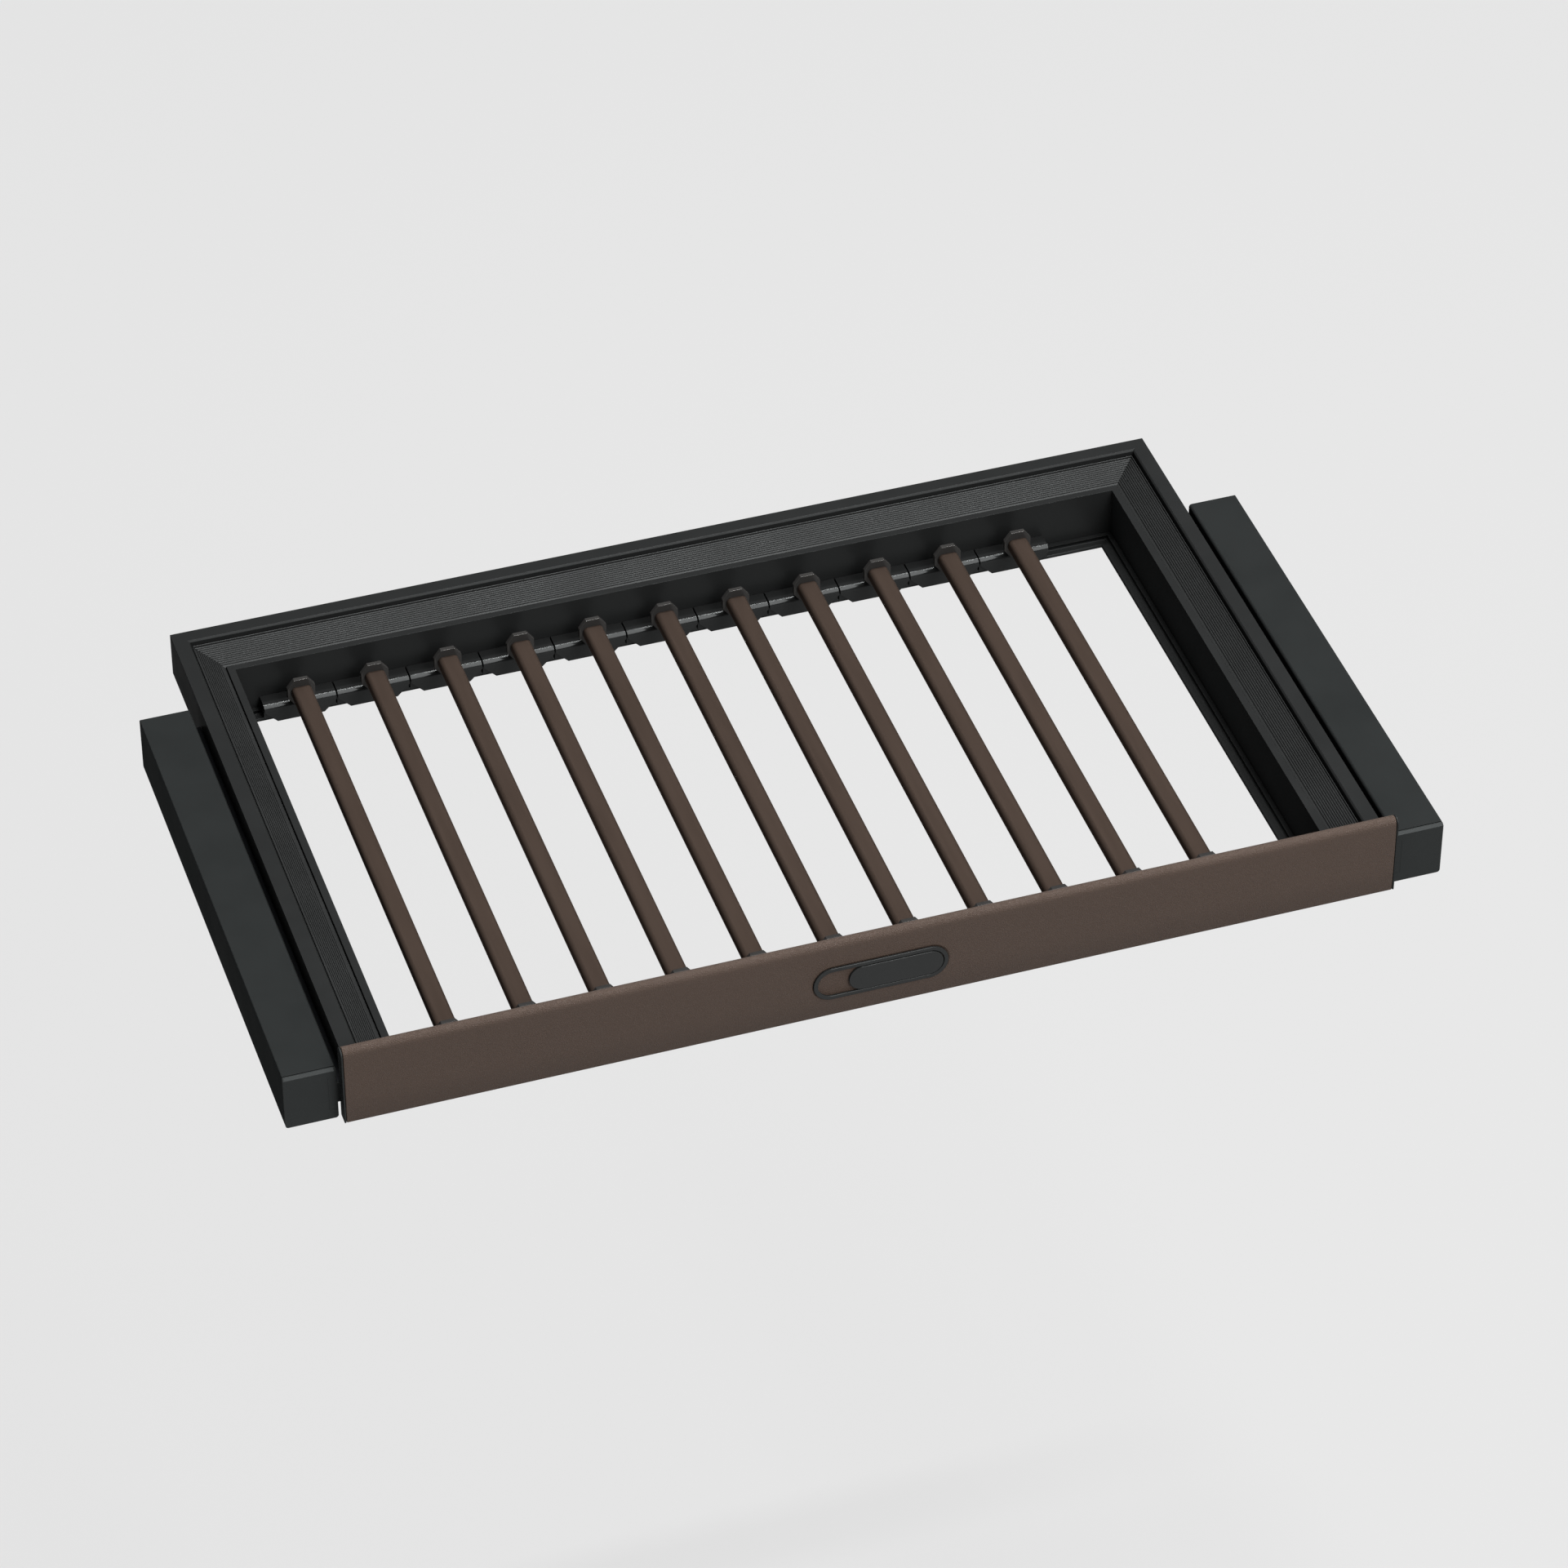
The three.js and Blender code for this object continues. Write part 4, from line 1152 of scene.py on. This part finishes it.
LENS, SENSOR = 144.29, 36
CAMERA_PLACE = (-1.229585, -3.747585, 3.335787)
CAMERA_TARGET = (-0.007915, -0.061795, 0.0649)
KEY_PLACE = (1.6, -3.0, 2.1)
KEY_SPREAD = math.radians(35)
SOFTBOX, STRIP = (2.2, 3), (2.6, 0.2)
LAMP_DISTANCE = 6
LAMP_LEAN = 0.248  # share of a lamp's way that leads to the right
FLOOR_SIZE = 14
FLOOR_LIGHT = 1.12  # light that the open floor gets, where a white floor at 1 looks white


def aim(thing, target):
    thing.rotation_euler = (Vector(target) - thing.location).to_track_quat("-Z", "Y").to_euler()


def add_panel(name, degrees, size, power):
    """A lamp over the rack, tilted from upright towards the front, with its width along the rack's width"""
    lamp = bpy.data.lights.new(name, "AREA")
    lamp.shape = "RECTANGLE"
    lamp.size, lamp.size_y = size
    lamp.energy = power
    tilt = math.radians(degrees)
    away = Vector((LAMP_LEAN, -math.sin(tilt), math.cos(tilt))).normalized()
    across = (Vector((1, 0, 0)) - away * away.x).normalized()
    turn = Matrix((across, away.cross(across), away)).transposed()
    show(name, lamp).matrix_world = Matrix.Translation(away * LAMP_DISTANCE) @ turn.to_4x4()


def add_camera():
    camera = bpy.data.cameras.new("Photo camera")
    camera.lens = LENS
    camera.sensor_width = SENSOR
    thing = show("Photo camera", camera)
    thing.location = CAMERA_PLACE
    aim(thing, CAMERA_TARGET)
    bpy.context.scene.camera = thing


def seen_directly(tree):
    """1 for a ray from the camera or from a mirror or glass, and 0 for light"""
    path = tree.nodes.new("ShaderNodeLightPath")
    camera, glossy, clear = (Value(tree, path.outputs[f"Is {kind} Ray"])
                             for kind in ("Camera", "Glossy", "Transmission"))
    total = camera + glossy + clear
    return total.maths("MINIMUM", total, 1)


def add_world(light, colours):
    world = bpy.data.worlds.new("Studio")
    bpy.context.scene.world = world
    world.use_nodes = True
    tree = world.node_tree
    background = tree.nodes["Background"]
    background.inputs["Color"].default_value = (*colours.floor, 1)
    connect(tree, background.inputs["Strength"], light.sky + seen_directly(tree) * (1 - light.sky))


def add_floor(light, colours):
    """A floor that looks pale, takes a soft shadow, and sends little light back up"""
    bm = bmesh.new()
    bmesh.ops.create_grid(bm, x_segments=1, y_segments=1, size=FLOOR_SIZE)
    mesh = bpy.data.meshes.new("Floor")
    bm.to_mesh(mesh)
    bm.free()
    floor = show("Floor", mesh)
    floor.location.z = -light.floor_drop
    finish = Finish("Pale floor")
    mesh.materials.append(finish.material)
    grey = light.floor_lit
    finish.done(Base_Color=(grey, grey, grey, 1), Roughness=0.9, Specular_IOR_Level=0)
    share = light.floor_share
    lit = grey * share * FLOOR_LIGHT
    glow = [(channel - lit) / (1 - share) for channel in colours.floor]
    pale = finish.node("ShaderNodeEmission", None, {"Color": (*glow, 1), "Strength": 1})
    mix = finish.node("ShaderNodeMixShader", None, {
        "Fac": seen_directly(finish.tree) * (1 - share), 1: finish.shader.outputs[0], 2: pale.outputs[0]})
    output = finish.tree.nodes["Material Output"]
    finish.tree.links.new(mix.outputs[0], output.inputs["Surface"])


def add_sun(name, towards, strength, spread):
    lamp = bpy.data.lights.new(name, "SUN")
    lamp.energy = strength
    lamp.angle = spread
    thing = show(name, lamp)
    thing.location = towards
    aim(thing, (0, 0, 0))


def build_stage(light, colours):
    bpy.context.scene.view_settings.view_transform = "Standard"
    add_camera()
    add_world(light, colours)
    add_floor(light, colours)
    add_sun("Key lamp", KEY_PLACE, light.key, KEY_SPREAD)
    add_panel("Top lamp 1", -2, SOFTBOX, light.top)
    add_panel("Top lamp 2", 26, SOFTBOX, light.top)
    add_panel("Front lamp", 54, SOFTBOX, light.front)
    add_panel("Strip lamp", STRIP_TILT, STRIP, light.strip)


# Operators


class BuildsPieces:
    """What the operators of the pieces share"""

    def execute(self, context):
        self.build(context.scene.rack_sizes)
        return {"FINISHED"}


class RACK_OT_rails(BuildsPieces, bpy.types.Operator):
    """Build the four rails of the sliding frame"""
    bl_idname = "rack.rails"
    bl_label = "Frame rails"
    build = staticmethod(build_rails)


class RACK_OT_inserts(BuildsPieces, bpy.types.Operator):
    """Build the ribbed inserts in the rails' trays"""
    bl_idname = "rack.inserts"
    bl_label = "Ribbed inserts"
    build = staticmethod(build_inserts)


class RACK_OT_housings(BuildsPieces, bpy.types.Operator):
    """Build the side housings and their front caps"""
    bl_idname = "rack.housings"
    bl_label = "Side housings"
    build = staticmethod(build_housings)


class RACK_OT_slides(BuildsPieces, bpy.types.Operator):
    """Build the ball slides' channels, cages and balls"""
    bl_idname = "rack.slides"
    bl_label = "Ball slides"
    build = staticmethod(build_slides)


class RACK_OT_bars(BuildsPieces, bpy.types.Operator):
    """Build the trouser bars"""
    bl_idname = "rack.bars"
    bl_label = "Bars"
    build = staticmethod(build_bars)


class RACK_OT_carriers(BuildsPieces, bpy.types.Operator):
    """Build the carriers that hold the bars on the ledge"""
    bl_idname = "rack.carriers"
    bl_label = "Carriers"
    build = staticmethod(build_carriers)


class RACK_OT_fascia(BuildsPieces, bpy.types.Operator):
    """Build the leather fascia and its end caps"""
    bl_idname = "rack.fascia"
    bl_label = "Fascia"
    build = staticmethod(build_fascia)


class RACK_OT_badge(BuildsPieces, bpy.types.Operator):
    """Build the ring inlaid in the fascia and its bare plate"""
    bl_idname = "rack.badge"
    bl_label = "Badge"
    build = staticmethod(build_badge)


class RACK_OT_stage(bpy.types.Operator):
    """Set up the floor, the lamps and the camera"""
    bl_idname = "rack.stage"
    bl_label = "Stage"

    def execute(self, context):
        build_stage(context.scene.rack_light, context.scene.rack_colours)
        return {"FINISHED"}


STEPS = [
    RACK_OT_stage,
    RACK_OT_rails,
    RACK_OT_inserts,
    RACK_OT_housings,
    RACK_OT_slides,
    RACK_OT_bars,
    RACK_OT_carriers,
    RACK_OT_fascia,
    RACK_OT_badge,
]


class RACK_PT_pieces(bpy.types.Panel):
    """The rack's pieces, sizes and colours"""
    bl_idname = "RACK_PT_pieces"
    bl_label = "Trouser rack"
    bl_space_type = "VIEW_3D"
    bl_region_type = "UI"
    bl_category = "Rack"

    def draw(self, context):
        scene = context.scene
        for step in STEPS:
            self.layout.operator(step.bl_idname)
        for group in (scene.rack_sizes, scene.rack_colours, scene.rack_light):
            box = self.layout.box()
            for name in group.__annotations__:
                box.prop(group, name)


GROUPS = {"rack_sizes": RackSizes, "rack_colours": RackColours, "rack_light": RackLight}


def register():
    for group in GROUPS.values():
        bpy.utils.register_class(group)
    for name, group in GROUPS.items():
        setattr(bpy.types.Scene, name, bpy.props.PointerProperty(type=group))
    for step in [*STEPS, RACK_PT_pieces]:
        bpy.utils.register_class(step)


def unregister():
    for step in reversed([*STEPS, RACK_PT_pieces]):
        bpy.utils.unregister_class(step)
    for name, group in GROUPS.items():
        delattr(bpy.types.Scene, name)
        bpy.utils.unregister_class(group)


def main():
    register()
    for step in STEPS:
        area, name = step.bl_idname.split(".")
        getattr(getattr(bpy.ops, area), name)()


if __name__ == "__main__":
    main()
